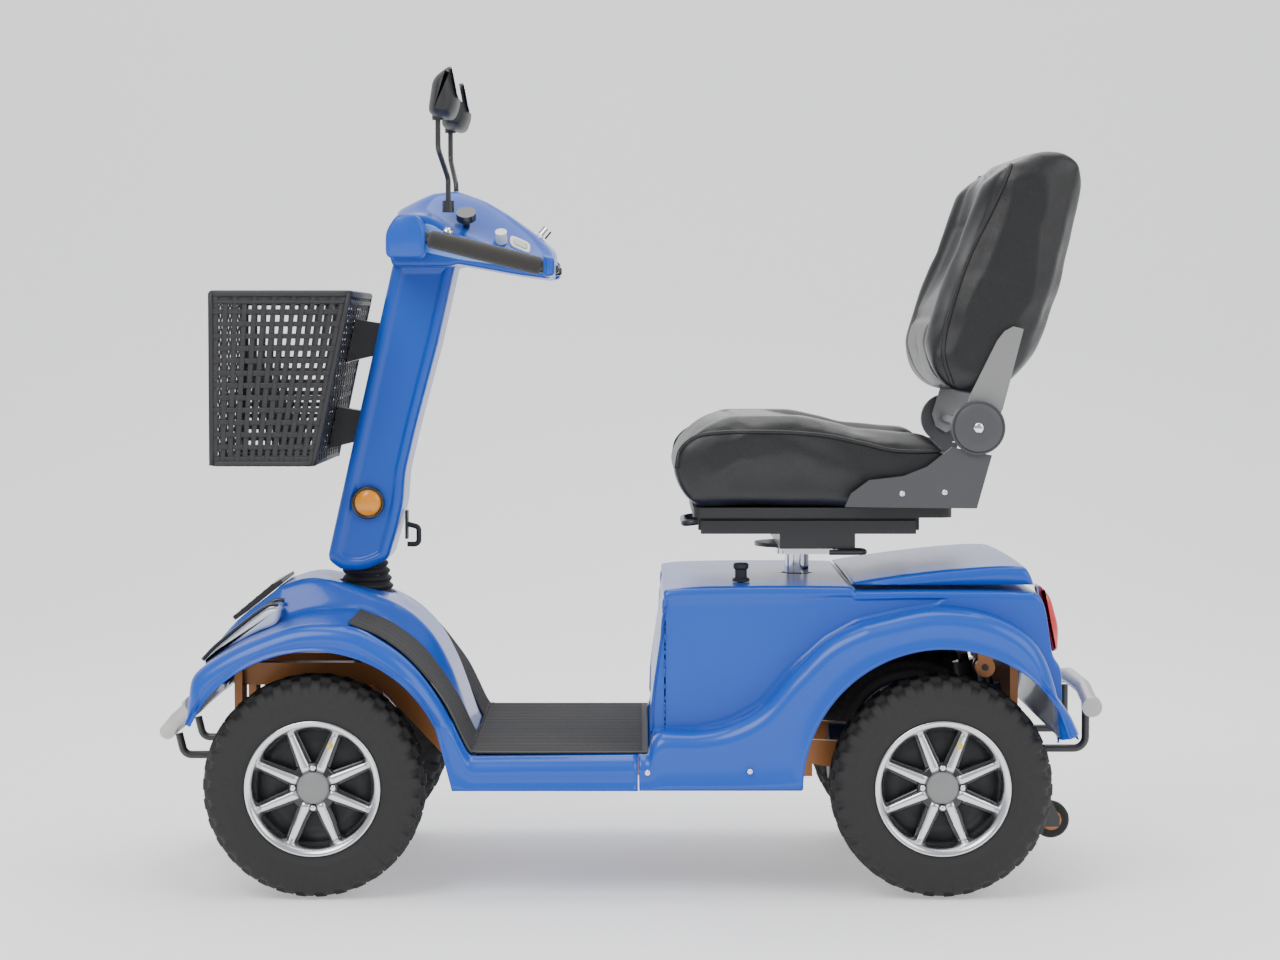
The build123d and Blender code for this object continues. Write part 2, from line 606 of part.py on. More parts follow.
def wheel_rim(x, side, turn, shaft=0.0):
    """Spoked rim with hub, lug nuts and centre cap; a driven wheel carries its half shaft."""
    wide = TYRE_WIDTH / 2
    lip = wide - 9
    barrel = [
        (70, -lip + 2), (RIM_LIP_RADIUS - 2, -lip + 2), (RIM_LIP_RADIUS - 2, -lip + 6),
        (BEAD_RADIUS, -lip + 11), (BEAD_RADIUS, lip - 11), (RIM_LIP_RADIUS - 2, lip - 6),
        (RIM_LIP_RADIUS, lip), (RIM_LIP_RADIUS - 9, lip + 1), (74, lip - 5), (70, lip - 14),
    ]
    centre = (x, side * HALF_TRACK, AXLE_Z)
    rim = spun(barrel, centre, side)
    rim += spun([(10, 4), (72, 10), (72, 16), (10, 12)], centre, side)
    rim += spun([(0, -30), (20, -30), (22, 8), (HUB_RADIUS, 12), (HUB_RADIUS, 34), (24, 40), (0, 42)],
                centre, side)
    reach = 75 - HUB_RADIUS + 6
    for step in range(SPOKES):
        angle = turn + 360 / SPOKES * step
        spoke = block(HUB_RADIUS - 4, HUB_RADIUS - 4 + reach, -SPOKE_HALF, SPOKE_HALF, 0, 26)
        place = Pos(*centre) * Rot(side * -90, 0, 0) * Pos(0, 0, 12)
        rim += place * (Rot(0, 0, angle) * spoke)
    pieces = [rim]
    if shaft:
        inner_end = side * shaft
        pieces[0] += rod((x, inner_end, AXLE_Z), (x, side * (HALF_TRACK - 20), AXLE_Z), AXLE_RADIUS)
    else:
        start = (x, side * (HALF_TRACK - 35), AXLE_Z)
        pieces[0] -= rod(start, (x, side * (HALF_TRACK + STUB_REACH), AXLE_Z), AXLE_RADIUS + RUN)
    for step in range(LUG_NUTS):
        angle = math.radians(turn + 22.5 + 360 / LUG_NUTS * step)
        nx = x + 46 * math.cos(angle)
        nz = AXLE_Z + 46 * math.sin(angle)
        y0 = side * (HALF_TRACK + 15.2)
        pieces.append(rod((nx, y0, nz), (nx, y0 + side * 13, nz), 7))
    return pieces


def knuckle(side):
    """C-shaped steering knuckle: kingpin, web, stub axle and steering arm with its rod pin."""
    y = side * KINGPIN_Y
    x = FRONT_AXLE_X
    low = BEAM_LOW - FREE
    high = BEAM_TOP + FREE
    web_in = side * (KINGPIN_Y + EYE_RADIUS + FREE)
    web_out = side * (KINGPIN_Y + EYE_RADIUS + FREE + 8)
    piece = block(x - 17, x + 17, web_in, web_out, low - 8, high + 8)
    piece += block(x - 17, x + 17, y, web_out, low - 8, low)
    piece += block(x - 17, x + 17, y, web_out, high, high + 8)
    piece += rod((x, y, low - 8), (x, y, low), 17)
    piece += rod((x, y, high), (x, y, high + 8), 17)
    piece += rod((x, y, low - 8), (x, y, high + 8), KINGPIN_RADIUS)
    piece += rod((x, web_in, AXLE_Z), (x, side * (HALF_TRACK + 20), AXLE_Z), AXLE_RADIUS)
    arm_x = x + STEER_ARM
    piece += block(x, arm_x, y - 7, y + 7, ARM_Z, ARM_Z + 8)
    piece += rod((arm_x, y, ARM_Z), (arm_x, y, ARM_Z + 8), 8)
    piece += block(x - 17, x + 17, y - 7, y + 7, ARM_Z, low - 4)
    rod_z = ARM_Z + (8 + ROD_EYE if side > 0 else -ROD_EYE)
    piece += rod((arm_x, y, ARM_Z + 4), (arm_x, y, rod_z), STEER_PIN_RADIUS)
    return piece


def tie_rods():
    """One rod to each knuckle; both share the pitman pin, one above and one below the arm."""
    pieces = []
    for side in (-1, 1):
        z0 = ARM_Z + (8 + FREE / 2 if side > 0 else -FREE / 2 - 9)
        middle = z0 + 4.5
        start = (COLUMN_X + STEER_ARM, 0)
        end = (FRONT_AXLE_X + STEER_ARM, side * KINGPIN_Y)
        piece = rod(start + (middle,), end + (middle,), 4.2)
        for x, y in (start, end):
            piece += rod((x, y, z0), (x, y, z0 + 9), 8)
        for x, y in (start, end):
            piece -= rod((x, y, z0 - 1), (x, y, z0 + 10), STEER_PIN_RADIUS + RUN)
        pieces.append(piece)
    return pieces


def steering_shaft():
    """Vertical shaft in the head tube, with the pitman arm below and the tilt fork above."""
    shaft = rod((COLUMN_X, 0, ARM_Z), (COLUMN_X, 0, TILT_PIVOT[1] - 33), COLUMN_RADIUS)
    arm_x = COLUMN_X + STEER_ARM
    shaft += block(COLUMN_X, arm_x, -8, 8, ARM_Z, ARM_Z + 8)
    shaft += rod((arm_x, 0, ARM_Z - ROD_EYE), (arm_x, 0, ARM_Z + 8 + ROD_EYE), STEER_PIN_RADIUS)
    fork_z = TILT_PIVOT[1] - 33
    pivot_x, pivot_z = TILT_PIVOT
    shaft += block(pivot_x - 14, pivot_x + 14, -FORK_OUT, FORK_OUT, fork_z - 8, fork_z)
    for side in (-1, 1):
        y0, y1 = side * FORK_IN, side * FORK_OUT
        shaft += block(pivot_x - 14, pivot_x + 14, y0, y1, fork_z - 8, pivot_z)
        shaft += rod((pivot_x, y0, pivot_z), (pivot_x, y1, pivot_z), 14)
        shaft -= rod((pivot_x, y0 - side, pivot_z), (pivot_x, y1 + side, pivot_z), TILT_PIN_RADIUS + RUN)
    return shaft


def anti_tip_bracket():
    """Tail bracket with a fork for each anti-tip wheel, bolted behind the rear plate."""
    x0 = REAR_PLATE_X + GAP
    at_x, at_z = ANTI_TIP
    bracket = block(x0, x0 + 8, -ANTI_TIP_Y - 22, ANTI_TIP_Y + 22, 140, TAIL_PLATE_TOP)
    for side in (-1, 1):
        for offset_y in (-17, 17):
            y = side * ANTI_TIP_Y + offset_y
            cheek = prism([(x0, 140), (x0, 185), (x0 + 20, 185), (at_x + 12, at_z + 6), (at_x + 12, at_z - 9),
                           (at_x - 10, at_z - 9)], y - 3, y + 3)
            bracket += cheek
        y = side * ANTI_TIP_Y
        bracket += rod((at_x, y - 20, at_z), (at_x, y + 20, at_z), 5)
    return bracket


def anti_tip_wheel(side):
    """Small solid wheel on a plain axle."""
    at_x, at_z = ANTI_TIP
    half = 11
    section = [(5 + RUN, -half - 1), (12, -half - 1), (12, -half), (ANTI_TIP_RADIUS - 3, -half),
               (ANTI_TIP_RADIUS, -half + 4), (ANTI_TIP_RADIUS, half - 4), (ANTI_TIP_RADIUS - 3, half),
               (12, half), (12, half + 1), (5 + RUN, half + 1)]
    return spun(section, (at_x, side * ANTI_TIP_Y, at_z))


# ================================================================ bumpers


def front_bumper():
    """Bowed bar across the front, with an end cap on each end."""
    half = BUMPER_HALF - 9
    points = [
        (FRONT_BAR_X + 55, -half, 270), (FRONT_BAR_X + 26, -half + 52, 244), (FRONT_BAR_X, -75, 217),
        (FRONT_BAR_X, 75, 217), (FRONT_BAR_X + 26, half - 52, 244), (FRONT_BAR_X + 55, half, 270),
    ]
    bar = bent(points, BUMPER_RADIUS, 40)
    caps = []
    for side in (-1, 1):
        start = Vector(FRONT_BAR_X + 55, side * half, 270)
        inward = Vector(FRONT_BAR_X + 26, side * (half - 52), 244)
        away = (start - inward).normalized()
        caps.append(rod(tuple(start + away * 0.3), tuple(start + away * 16), BUMPER_RADIUS + 3))
    for side in (-1, 1):
        bar -= rod((FRONT_AXLE_X - 219, side * STAY_FRONT_Y, 200), front_stay_top(side), STAY_RADIUS + GAP)
    return [bar] + caps


def front_stay_top(side):
    return (FRONT_AXLE_X - 231, side * STAY_FRONT_Y, 243)


def rear_bumper():
    """Nearly straight bar across the back, with an end cap on each end."""
    half = BUMPER_HALF - 9
    points = [(REAR_BAR_X - 4, -half, 274), (REAR_BAR_X, -80, 288), (REAR_BAR_X, 80, 288),
              (REAR_BAR_X - 4, half, 274)]
    bar = bent(points, BUMPER_RADIUS, 60)
    caps = []
    for side in (-1, 1):
        start = Vector(REAR_BAR_X - 4, side * half, 274)
        away = (start - Vector(REAR_BAR_X, side * 80, 288)).normalized()
        caps.append(rod(tuple(start + away * 0.3), tuple(start + away * 16), BUMPER_RADIUS + 3))
    return [bar] + caps


def bumper_stays():
    """Bent round bars that carry both bumpers."""
    stays = []
    for side in (-1, 1):
        y = side * STAY_FRONT_Y
        nose = RAIL_NOSE_X - 5
        points = [(nose, y, STAY_LOW), (FRONT_AXLE_X - 219, y, STAY_LOW), (FRONT_AXLE_X - 227, y, 219)]
        stays.append(bent(points, STAY_RADIUS, 14))
        y = side * ANTI_TIP_Y
        points = [(REAR_PLATE_X + 9.5, y, 198), (REAR_BAR_X - 1, y, 198), (REAR_BAR_X - 1, y, 269)]
        stays.append(bent(points, STAY_RADIUS, 18))
    return stays


save("swing_arm", *swing_arm())
save("transaxle", transaxle())
save("shock_absorbers", *shock_absorbers())
save("steering_shaft", steering_shaft())
save("tie_rods", *tie_rods())
save("anti_tip_bracket", anti_tip_bracket())
save("front_bumper", *front_bumper())
save("rear_bumper", *rear_bumper())
save("bumper_stays", *bumper_stays())
for word, side in SIDES.items():
    save("knuckle_" + word, knuckle(side))
    save("anti_tip_wheel_" + word, anti_tip_wheel(side))
    save("front_" + word + "_tyre", tyre(FRONT_AXLE_X, side))
    save("front_" + word + "_rim", *wheel_rim(FRONT_AXLE_X, side, 0))
    save("rear_" + word + "_tyre", tyre(REAR_AXLE_X, side))
    save("rear_" + word + "_rim", *wheel_rim(REAR_AXLE_X, side, 17, shaft=76))


# ================================================================ tiller


def tiller_column():
    """Leaning tube with the tilt eye and its pin at the foot."""
    column = rod((PIVOT_X, 0, PIVOT_Z), (PIVOT_X + LEAN_X * 505, 0, PIVOT_Z + LEAN_Z * 505), TILLER_TUBE)
    eye = FORK_IN - FREE
    column += rod((PIVOT_X, -eye, PIVOT_Z), (PIVOT_X, eye, PIVOT_Z), 14)
    column &= block(-600, 0, -eye, eye, PIVOT_Z - 14, 1100)
    column += rod((PIVOT_X, -FORK_OUT - 1, PIVOT_Z), (PIVOT_X, FORK_OUT + 1, PIVOT_Z), TILT_PIN_RADIUS)
    return column


def tiller_cover():
    """Moulded cover round the column, open below and above."""
    cover = prism(COVER_PROFILE, -COVER_HALF, COVER_HALF)
    inner = prism(COVER_PROFILE, -COVER_HALF + 3.5, COVER_HALF - 3.5, 3.5)
    return cover - inner - Pos(0, 0, -9) * inner - Pos(1, 0, 9) * (inner & block(-500, 0, -90, 90, 900, 960))


def tiller_bellows():
    """Corrugated rubber sleeve over the tilt fork."""
    section = [(37.5, PIVOT_Z - 46)]
    for fold in range(3):
        z = PIVOT_Z - 46 + fold * 11
        section += [(42, z + 3), (42, z + 5.5), (38.5, z + 9)]
    section += [(36.5, PIVOT_Z - 13), (36.5, PIVOT_Z - 46)]
    section = [(r + 0.8, z) for r, z in section]
    return upright(section, (COLUMN_X, 0, 0))


def upright_face(points, y):
    """Side outline as a flat face standing at y."""
    plane = Plane(origin=(0, y, 0), x_dir=(1, 0, 0), z_dir=(0, -1, 0))
    return plane * outline(points)


def shrunk(points, share):
    """Outline drawn in towards its middle."""
    cx = sum(x for x, _ in points) / len(points)
    cz = sum(z for _, z in points) / len(points)
    return [(cx + (x - cx) * share, cz + (z - cz) * share) for x, z in points]


def console_body(ridge, edge, ridge_half, edge_half):
    """Ridge prism with a sloping flank on each side."""
    body = prism(ridge, -ridge_half, ridge_half)
    for side in (-1, 1):
        near = upright_face(ridge, side * ridge_half)
        far = upright_face(edge, side * edge_half)
        body += loft([near, far], ruled=True)
    return body


def tiller_head():
    """Console housing with a block in front and a bridge behind for the grips, open underneath."""
    outer = console_body(HEAD_PROFILE, HEAD_SIDE, RIDGE_HALF, HEAD_HALF)
    inner = console_body(shrunk(HEAD_PROFILE, 0.93), shrunk(HEAD_SIDE, 0.93), RIDGE_HALF, HEAD_HALF - 4)
    head = outer - inner - Pos(0, 0, -9) * inner
    front_block = [(-357, 955), (-345, 1002), (-317, 1011), (-297, 1003), (-297, 950), (-340, 945)]
    bridge = [(-119, 950), (-104, 945), (-106, 917), (-121, 917)]
    for side in (-1, 1):
        y0, y1 = sorted((side * (HEAD_HALF - 2), side * (GRIP_Y + 17)))
        head += prism(front_block, y0, y1)
        head += prism(bridge, y0, y1)
        y = side * MIRROR_IN
        head += rod((CLAMP_X, y, CLAMP_Z - 22), (CLAMP_X, y, CLAMP_Z - 2), 10)
        for x, step in GRIP_SOCKETS:
            start = (x, side * GRIP_Y, along_grip(x))
            end = (x + step, side * GRIP_Y, along_grip(x + step))
            head -= rod(start, end, HANDLE_RADIUS + RUN)
    head -= block(-400, -270, -60, 60, 915, 940)
    for place, radius in ((HORN, 9 + RUN), (DIAL, 5 + RUN)):
        head -= rod(place, tuple(Vector(*place) - Vector(*FLANK) * 16), radius)
    head -= rod(KEY, tuple(Vector(*KEY) - Vector(*KEY_AXIS) * 16), 4 + RUN)
    x, y, z = THROTTLE
    head -= rod((x, y - 1, z), (x, HEAD_HALF + 2, z), 4 + RUN)
    return head


def along_grip(x):
    """Height of the grip bar's axis at x."""
    share = (x - GRIP_FRONT[0]) / (GRIP_REAR[0] - GRIP_FRONT[0])
    return GRIP_FRONT[1] + (GRIP_REAR[1] - GRIP_FRONT[1]) * share


def grip_bars():
    """Steel bars that the foam grips slide on, let into the head at both ends."""
    bars = []
    for side in (-1, 1):
        start = (-305, side * GRIP_Y, along_grip(-305))
        end = (-113, side * GRIP_Y, along_grip(-113))
        bars.append(rod(start, end, HANDLE_RADIUS))
    return bars


def handle_grips():
    """Foam sleeves on the bars."""
    pieces = []
    for side in (-1, 1):
        start = (-293, side * GRIP_Y, along_grip(-293))
        end = (-124, side * GRIP_Y, along_grip(-124))
        pieces.append(sleeve(start, end, GRIP_RADIUS, HANDLE_RADIUS + RUN))
    return pieces


def throttle_lever():
    """Thumb paddle between the console and the right grip, on a cross pin."""
    x, y, z = THROTTLE
    lever = rod((x, y, z), (x, HEAD_HALF + 26, z), 4)
    return lever + block(x - 6, x + 6, HEAD_HALF + 4, HEAD_HALF + 26, z - 6, z + 34)


def round_knob(place, axis, stem, radius, height):
    """Knob on a stem that runs into the console along the given axis."""
    base = Vector(*place)
    way = Vector(*axis)
    knob = rod(tuple(base + way * 2.5), tuple(base + way * (2.5 + height)), radius)
    return knob + rod(tuple(base - way * 12), tuple(base + way * 3), stem)


def amber_lamp():
    """Round side lamp on the tiller cover."""
    centre = (-395, -COVER_HALF - 0.3, 572)
    return spun([(0, 0), (25, 0), (25, 4), (22, 9), (14, 12), (0, 13)], centre, -1)


def bag_hook():
    """Fold-out hook on the back of the tiller cover."""
    base = block(HOOK_X + 3.5, HOOK_X + 7.5, -14, 14, 512, 556)
    hook = bent([(HOOK_X + 5, 0, 535), (HOOK_X + 24, 0, 530), (HOOK_X + 24, 0, 503), (HOOK_X + 6, 0, 503)],
                4, 7)
    return base + hook


def mirror_stems():
    """Clamped stems, bent outwards and up."""
    stems = []
    for side in (-1, 1):
        inner_y = side * MIRROR_IN
        outer_y = side * MIRROR_Y
        clamp = rod((CLAMP_X, inner_y, CLAMP_Z - 1.5), (CLAMP_X, inner_y, CLAMP_Z + 16), 9)
        points = [(CLAMP_X, inner_y, CLAMP_Z + 10), (CLAMP_X, inner_y, CLAMP_Z + 50),
                  (CLAMP_X - 12, outer_y, CLAMP_Z + 92), (CLAMP_X - 12, outer_y, MIRROR_PIVOT_Z + 14)]
        stems.append(clamp + bent(points, MIRROR_STEM_RADIUS, 16))
    return stems


def mirror_head(side):
    """Pointed mirror head on a ball neck."""
    x = CLAMP_X - 12
    y = side * MIRROR_Y
    profile = [(x - 14, 1160), (x + 24, 1152), (x + 34, 1180), (x + 24, 1236), (x - 6, 1214)]
    head = prism(profile, y - 62, y + 62)
    head -= prism(profile, y - 58, y + 58, 4) & block(x - 40, x + 60, y - 58, y + 58, 1150, 1240)
    head += rod((x, y, 1153), (x, y, 1166), 9)
    head -= rod((x, y, 1140), (x, y, MIRROR_PIVOT_Z + 16), MIRROR_STEM_RADIUS + RUN)
    return head


def basket():
    """Open woven basket in front of the tiller."""
    half = BASKET_WIDTH / 2
    outer = prism(BASKET_PROFILE, -half, half)
    inner = prism(BASKET_PROFILE, -half + BASKET_WALL, half - BASKET_WALL, BASKET_WALL)
    return outer - inner - Pos(0, 0, 8) * inner


def front_edge(z):
    """X of the tiller cover's front edge at a height."""
    return -459 + (z - 484) * (101 / 446)


def basket_back(z):
    """X of the basket's back wall at a height."""
    return -466 + (z - 632) * (56 / 263)


def basket_brackets():
    """Two brackets between the tiller cover and the basket's back."""
    pieces = []
    for low, high, half in ((788, 854, 26), (654, 718, 20)):
        outline_points = [
            (basket_back(low) + FREE, low), (basket_back(high) + FREE, high),
            (front_edge(high - 6) - GAP, high - 6), (front_edge(low + 10) - GAP, low + 10),
        ]
        pieces.append(prism(outline_points, -half, half))
    return pieces


save("tiller_column", tiller_column())
save("tiller_cover", tiller_cover())
save("tiller_bellows", tiller_bellows())
save("tiller_head", tiller_head())
save("grip_bars", *grip_bars())
save("handle_grips", *handle_grips())
save("throttle_lever", throttle_lever())
save("speed_dial", round_knob(DIAL, FLANK, 5, 15, 12))
save("horn_button", round_knob(HORN, FLANK, 9, 9, 4))
save("ignition_key", round_knob(KEY, KEY_AXIS, 4, 9, 14))
save("amber_lamps", *both_sides(amber_lamp()))
save("bag_hook", bag_hook())
save("mirror_stems", *mirror_stems())
save("mirror_head_left", mirror_head(-1))
save("mirror_head_right", mirror_head(1))
save("basket", basket())
save("basket_brackets", *basket_brackets())


# ================================================================ seat


def seat_post():
    """Height-adjusting post with the lower swivel plate on top."""
    post = rod((POST_X, 0, 292), (POST_X, 0, SWIVEL_Z + 4), POST_RADIUS)
    plate = block(POST_X - 34, POST_X + 60, -50, 50, SWIVEL_Z, SWIVEL_Z + 9)
    plate = fillet(plate.edges().filter_by(Axis.Z), 14)
    return post + plate + rod((POST_X, 0, SWIVEL_Z + 5), (POST_X, 0, SWIVEL_Z + 24), 12)


def seat_rails():
    """Upper swivel plate and the fixed slide rails."""
    low = SWIVEL_Z + 9 + FREE
    plate = rod((POST_X, 0, low), (POST_X, 0, low + 6), 66)
    plate += block(POST_X - 34, POST_X + 80, -RAIL_SLIDE_Y - 14, RAIL_SLIDE_Y + 14, low + 6, 530)
    plate -= rod((POST_X, 0, low - 1), (POST_X, 0, low + 20), 12 + RUN)
    for side in (-1, 1):
        y0 = side * (RAIL_SLIDE_Y - 14)
        y1 = side * (RAIL_SLIDE_Y + 14)
        plate += block(116, 441, y0, y1, 530, 534)
        for lip in (y0, y1 - side * 4):
            plate += block(116, 441, lip, lip + side * 4, 534, 550)
    return plate


def swivel_lever():
    """Loop lever on the left of the swivel."""
    x, y = SWIVEL_LEVER
    z = 503
    boss = rod((x, y, z - 3), (x, y, z + 4), 6)
    points = [(x, y, z), (x, y - 54, z), (x + 34, y - 76, z), (x + 34, y - 112, z), (x - 20, y - 112, z)]
    return bent(points, 4, 12) + boss


def seat_pan():
    """Seat plate on its upper slide rails."""
    pan = block(104, 492, -205, 205, 557, 572)
    pan = fillet(pan.edges().filter_by(Axis.Z), 20)
    pan -= block(116, 480, -190, 190, 550, 568)
    for side in (-1, 1):
        y = side * RAIL_SLIDE_Y
        pan += block(112, 446, y - 8, y + 8, 534 + FREE, 569)
    return pan


def slide_lever():
    """U-shaped bar under the front edge that frees the slide."""
    bar = bent([(150, -74, 548), (92, -74, 540), (92, 74, 540), (150, 74, 548)], 5, 16)
    for side in (-1, 1):
        bar += rod((150, side * 68, 548), (150, side * 80, 548), 7)
    return bar


def seat_side_covers():
    """Plastic valances with the recliner discs."""
    px, pz = RECLINE_PIVOT
    pieces = []
    for side in (-1, 1):
        y0, y1 = sorted((side * COVER_Y[0], side * COVER_Y[1]))
        profile = [(328, 575), (337, 595), (364, 615), (415, 621), (450, 635), (487, 664),
                   (546, 652), (524, 573)]
        plate = prism(profile, y0, y1)
        plate += rod((px, side * COVER_Y[0], pz), (px, side * (COVER_Y[1] + 6), pz), RECLINER_RADIUS)
        plate -= rod((px, side * 220, pz), (px, side * 260, pz), 8 + RUN)
        pieces.append(plate + block(494, 520, side * 195, side * COVER_Y[0], 575, 582))
    return pieces


def backrest_frame():
    """Recliner arms on a cross bar that is also the hinge pin."""
    px, pz = RECLINE_PIVOT
    frame = rod((px, -COVER_Y[1] - 4, pz), (px, COVER_Y[1] + 4, pz), 8)
    for side in (-1, 1):
        y0, y1 = sorted((side * ARM_Y[0], side * ARM_Y[1]))
        profile = [(502, 700), (515, 743), (554, 822), (565, 836), (578, 843), (593, 839),
                   (563, 721), (546, 682), (525, 670), (508, 680)]
        frame += prism(profile, y0, y1)
    return frame


def cushion(profile, width):
    """Plain padded block, drawn in by the thickness of its cover."""
    half = width / 2 - PIPING
    return prism(profile, -half, half)


save("seat_post", seat_post())
save("seat_rails", seat_rails())
save("swivel_lever", swivel_lever())
save("seat_pan", seat_pan())
save("slide_lever", slide_lever())
save("seat_cushion", cushion(CUSHION_PROFILE, SEAT_WIDTH))
save("seat_side_covers", *seat_side_covers())
save("backrest_frame", backrest_frame())
save("back_cushion", cushion(BACK_PROFILE, BACK_WIDTH))
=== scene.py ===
"""Mobility scooter: the finished looks, built round the engineering frame.

Laid out as an add-on with one operator for each group of pieces.  Lengths are metres, +Z is up,
the front of the scooter points to -X and the rider's left is -Y.
"""
import math

import bmesh
import bpy
import numpy as np
from bpy.props import FloatProperty, FloatVectorProperty, PointerProperty
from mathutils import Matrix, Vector
from mathutils.bvhtree import BVHTree


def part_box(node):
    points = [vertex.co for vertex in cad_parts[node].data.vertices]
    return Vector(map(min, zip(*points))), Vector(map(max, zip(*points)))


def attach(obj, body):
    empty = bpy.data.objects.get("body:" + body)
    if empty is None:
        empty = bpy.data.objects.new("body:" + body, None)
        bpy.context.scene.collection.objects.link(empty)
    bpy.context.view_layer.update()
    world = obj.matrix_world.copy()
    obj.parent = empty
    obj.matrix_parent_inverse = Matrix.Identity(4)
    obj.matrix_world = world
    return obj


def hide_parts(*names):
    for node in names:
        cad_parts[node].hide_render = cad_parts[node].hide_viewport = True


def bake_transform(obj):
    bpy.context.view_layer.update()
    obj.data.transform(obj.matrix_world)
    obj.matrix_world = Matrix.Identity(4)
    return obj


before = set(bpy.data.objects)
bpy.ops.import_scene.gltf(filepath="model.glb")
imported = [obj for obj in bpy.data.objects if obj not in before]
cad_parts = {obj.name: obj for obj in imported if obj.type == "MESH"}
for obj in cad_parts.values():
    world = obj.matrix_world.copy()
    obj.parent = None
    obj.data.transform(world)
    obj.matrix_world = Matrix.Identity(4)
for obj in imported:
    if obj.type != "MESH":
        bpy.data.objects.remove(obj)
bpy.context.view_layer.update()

bl_info = {
    "name": "Mobility Scooter",
    "version": (1, 0, 0),
    "blender": (4, 5, 0),
    "location": "3D View > Sidebar > Scooter",
    "description": "Builds the shells, seat, wheels, tiller and basket of a mobility scooter",
    "category": "Object",
}

SIDES = {"left": -1, "right": 1}


def middle(node):
    """Centre of a frame node's box."""
    low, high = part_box(node)
    return (low + high) / 2


FRONT_AXLE = middle("front_left_tyre")
REAR_AXLE = middle("rear_left_tyre")
FLOOR_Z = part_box("floor_mat")[0].z
BODY_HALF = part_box("front_body_shell")[1].y
SKIRT_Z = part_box("rear_body_shell")[0].z
SEAM_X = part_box("front_body_shell")[1].x
POST_X = middle("seat_post").x - 0.013      # the post's plate reaches 13 mm further back than forward


# ------------------------------------------------------------------ properties
def colour(name, description, *value):
    return FloatVectorProperty(name=name, description=description, default=value, subtype="COLOR",
                               size=3, min=0.0, max=1.0)


def length(name, description, value):
    return FloatProperty(name=name, description=description, default=value, unit="LENGTH",
                         subtype="DISTANCE", min=0.0)


class ScooterColours(bpy.types.PropertyGroup):
    """Colours of the finishes."""
    body: colour("Body", "Gloss blue of the moulded shells", 0.008, 0.075, 0.46)
    body_light: colour("Body light", "Paler blue in the shells' fine mottling", 0.012, 0.095, 0.52)
    leather: colour("Leather", "Seat cover", 0.0045, 0.0045, 0.005)
    rubber: colour("Rubber", "Tyres and bellows", 0.010, 0.010, 0.010)
    mat: colour("Mat", "Ribbed floor mat", 0.022, 0.021, 0.019)
    foam: colour("Foam", "Handle grips", 0.022, 0.020, 0.017)
    plastic: colour("Plastic", "Black trim", 0.014, 0.014, 0.015)
    grey: colour("Grey trim", "Seat side covers", 0.055, 0.055, 0.060)
    alloy: colour("Alloy", "Machined faces of the wheels", 0.72, 0.73, 0.75)
    silver: colour("Silver", "Bumper tubes", 0.42, 0.41, 0.39)
    copper: colour("Copper", "Frame paint", 0.32, 0.12, 0.035)
    amber: colour("Amber", "Side lamps", 0.80, 0.25, 0.008)
    red: colour("Red", "Tail lights", 0.62, 0.03, 0.04)


class ScooterSizes(bpy.types.PropertyGroup):
    """Sizes that set the look of the pieces."""
    shell_wall: length("Shell wall", "Thickness of the moulded shells", 0.0035)
    flange_roll: length("Flange roll", "Radius of the wings' outer edge", 0.024)
    tread_depth: length("Tread depth", "Height of the tyre blocks", 0.006)
    mat_rib: length("Mat rib", "Height of the mat's ribs", 0.0018)
    strip_width: length("Strip width", "Width of the basket's woven strips", 0.0075)
    piping_radius: length("Piping", "Radius of the seat's piping", 0.0032)
    voxel: length("Cushion voxel", "Cell size when the cushions are remeshed", 0.0065)
    cushion_swell: length("Cushion swell", "Most that a cushion's cover may move when it fills", 0.009)


# ------------------------------------------------------------------ surfaces
def unit(vectors):
    """Each vector divided by its length."""
    return vectors / np.linalg.norm(vectors, axis=-1, keepdims=True)


def distance_along(line):
    """Distance from the first point of a polyline to each of its points."""
    return np.concatenate([[0], np.cumsum(np.linalg.norm(np.diff(line, axis=0), axis=1))])


def respaced(line, count):
    """The same polyline with count points at equal distances along it."""
    line = np.asarray(line, float)
    run = distance_along(line)
    at = np.linspace(0, run[-1], count)
    return np.stack([np.interp(at, run, line[:, k]) for k in range(line.shape[1])], axis=1)


def curve(points, count):
    """A smooth line of count points through the given ones: Catmull-Rom, each stretch a cubic with
    tangents half the chord between neighbours, then respaced by length."""
    p = np.asarray(points, float)
    p = np.vstack([2 * p[0] - p[1], p, 2 * p[-1] - p[-2]])
    t = np.linspace(0, 1, 24, endpoint=False)[None, :, None]
    a, b, c, d = (p[i:len(p) - 3 + i, None, :] for i in range(4))
    line = 0.5 * (2 * b + (c - a) * t + (2 * a - 5 * b + 4 * c - d) * t ** 2
                  + (3 * b - a - 3 * c + d) * t ** 3)
    return respaced(np.vstack([line.reshape(-1, p.shape[1]), p[-2]]), count)


def ramp(low, high, value):
    """Smooth step from 0 at low to 1 at high: 3t squared minus 2t cubed."""
    t = np.clip((np.asarray(value, float) - low) / (high - low), 0, 1)
    return t * t * (3 - 2 * t)


def at_y(line, y):
    """(X, Z) points made (X, Y, Z) ones; y is one value or one for each point."""
    return np.stack([line[:, 0], np.broadcast_to(y, len(line)), line[:, 1]], -1)


def mirrored(columns):
    """Columns that run from the middle plane outwards, joined to their mirror image."""
    half = np.stack(columns, 1)
    other = half[:, ::-1].copy()
    other[..., 1] *= -1
    return np.concatenate([other, half[:, 1:]], 1)


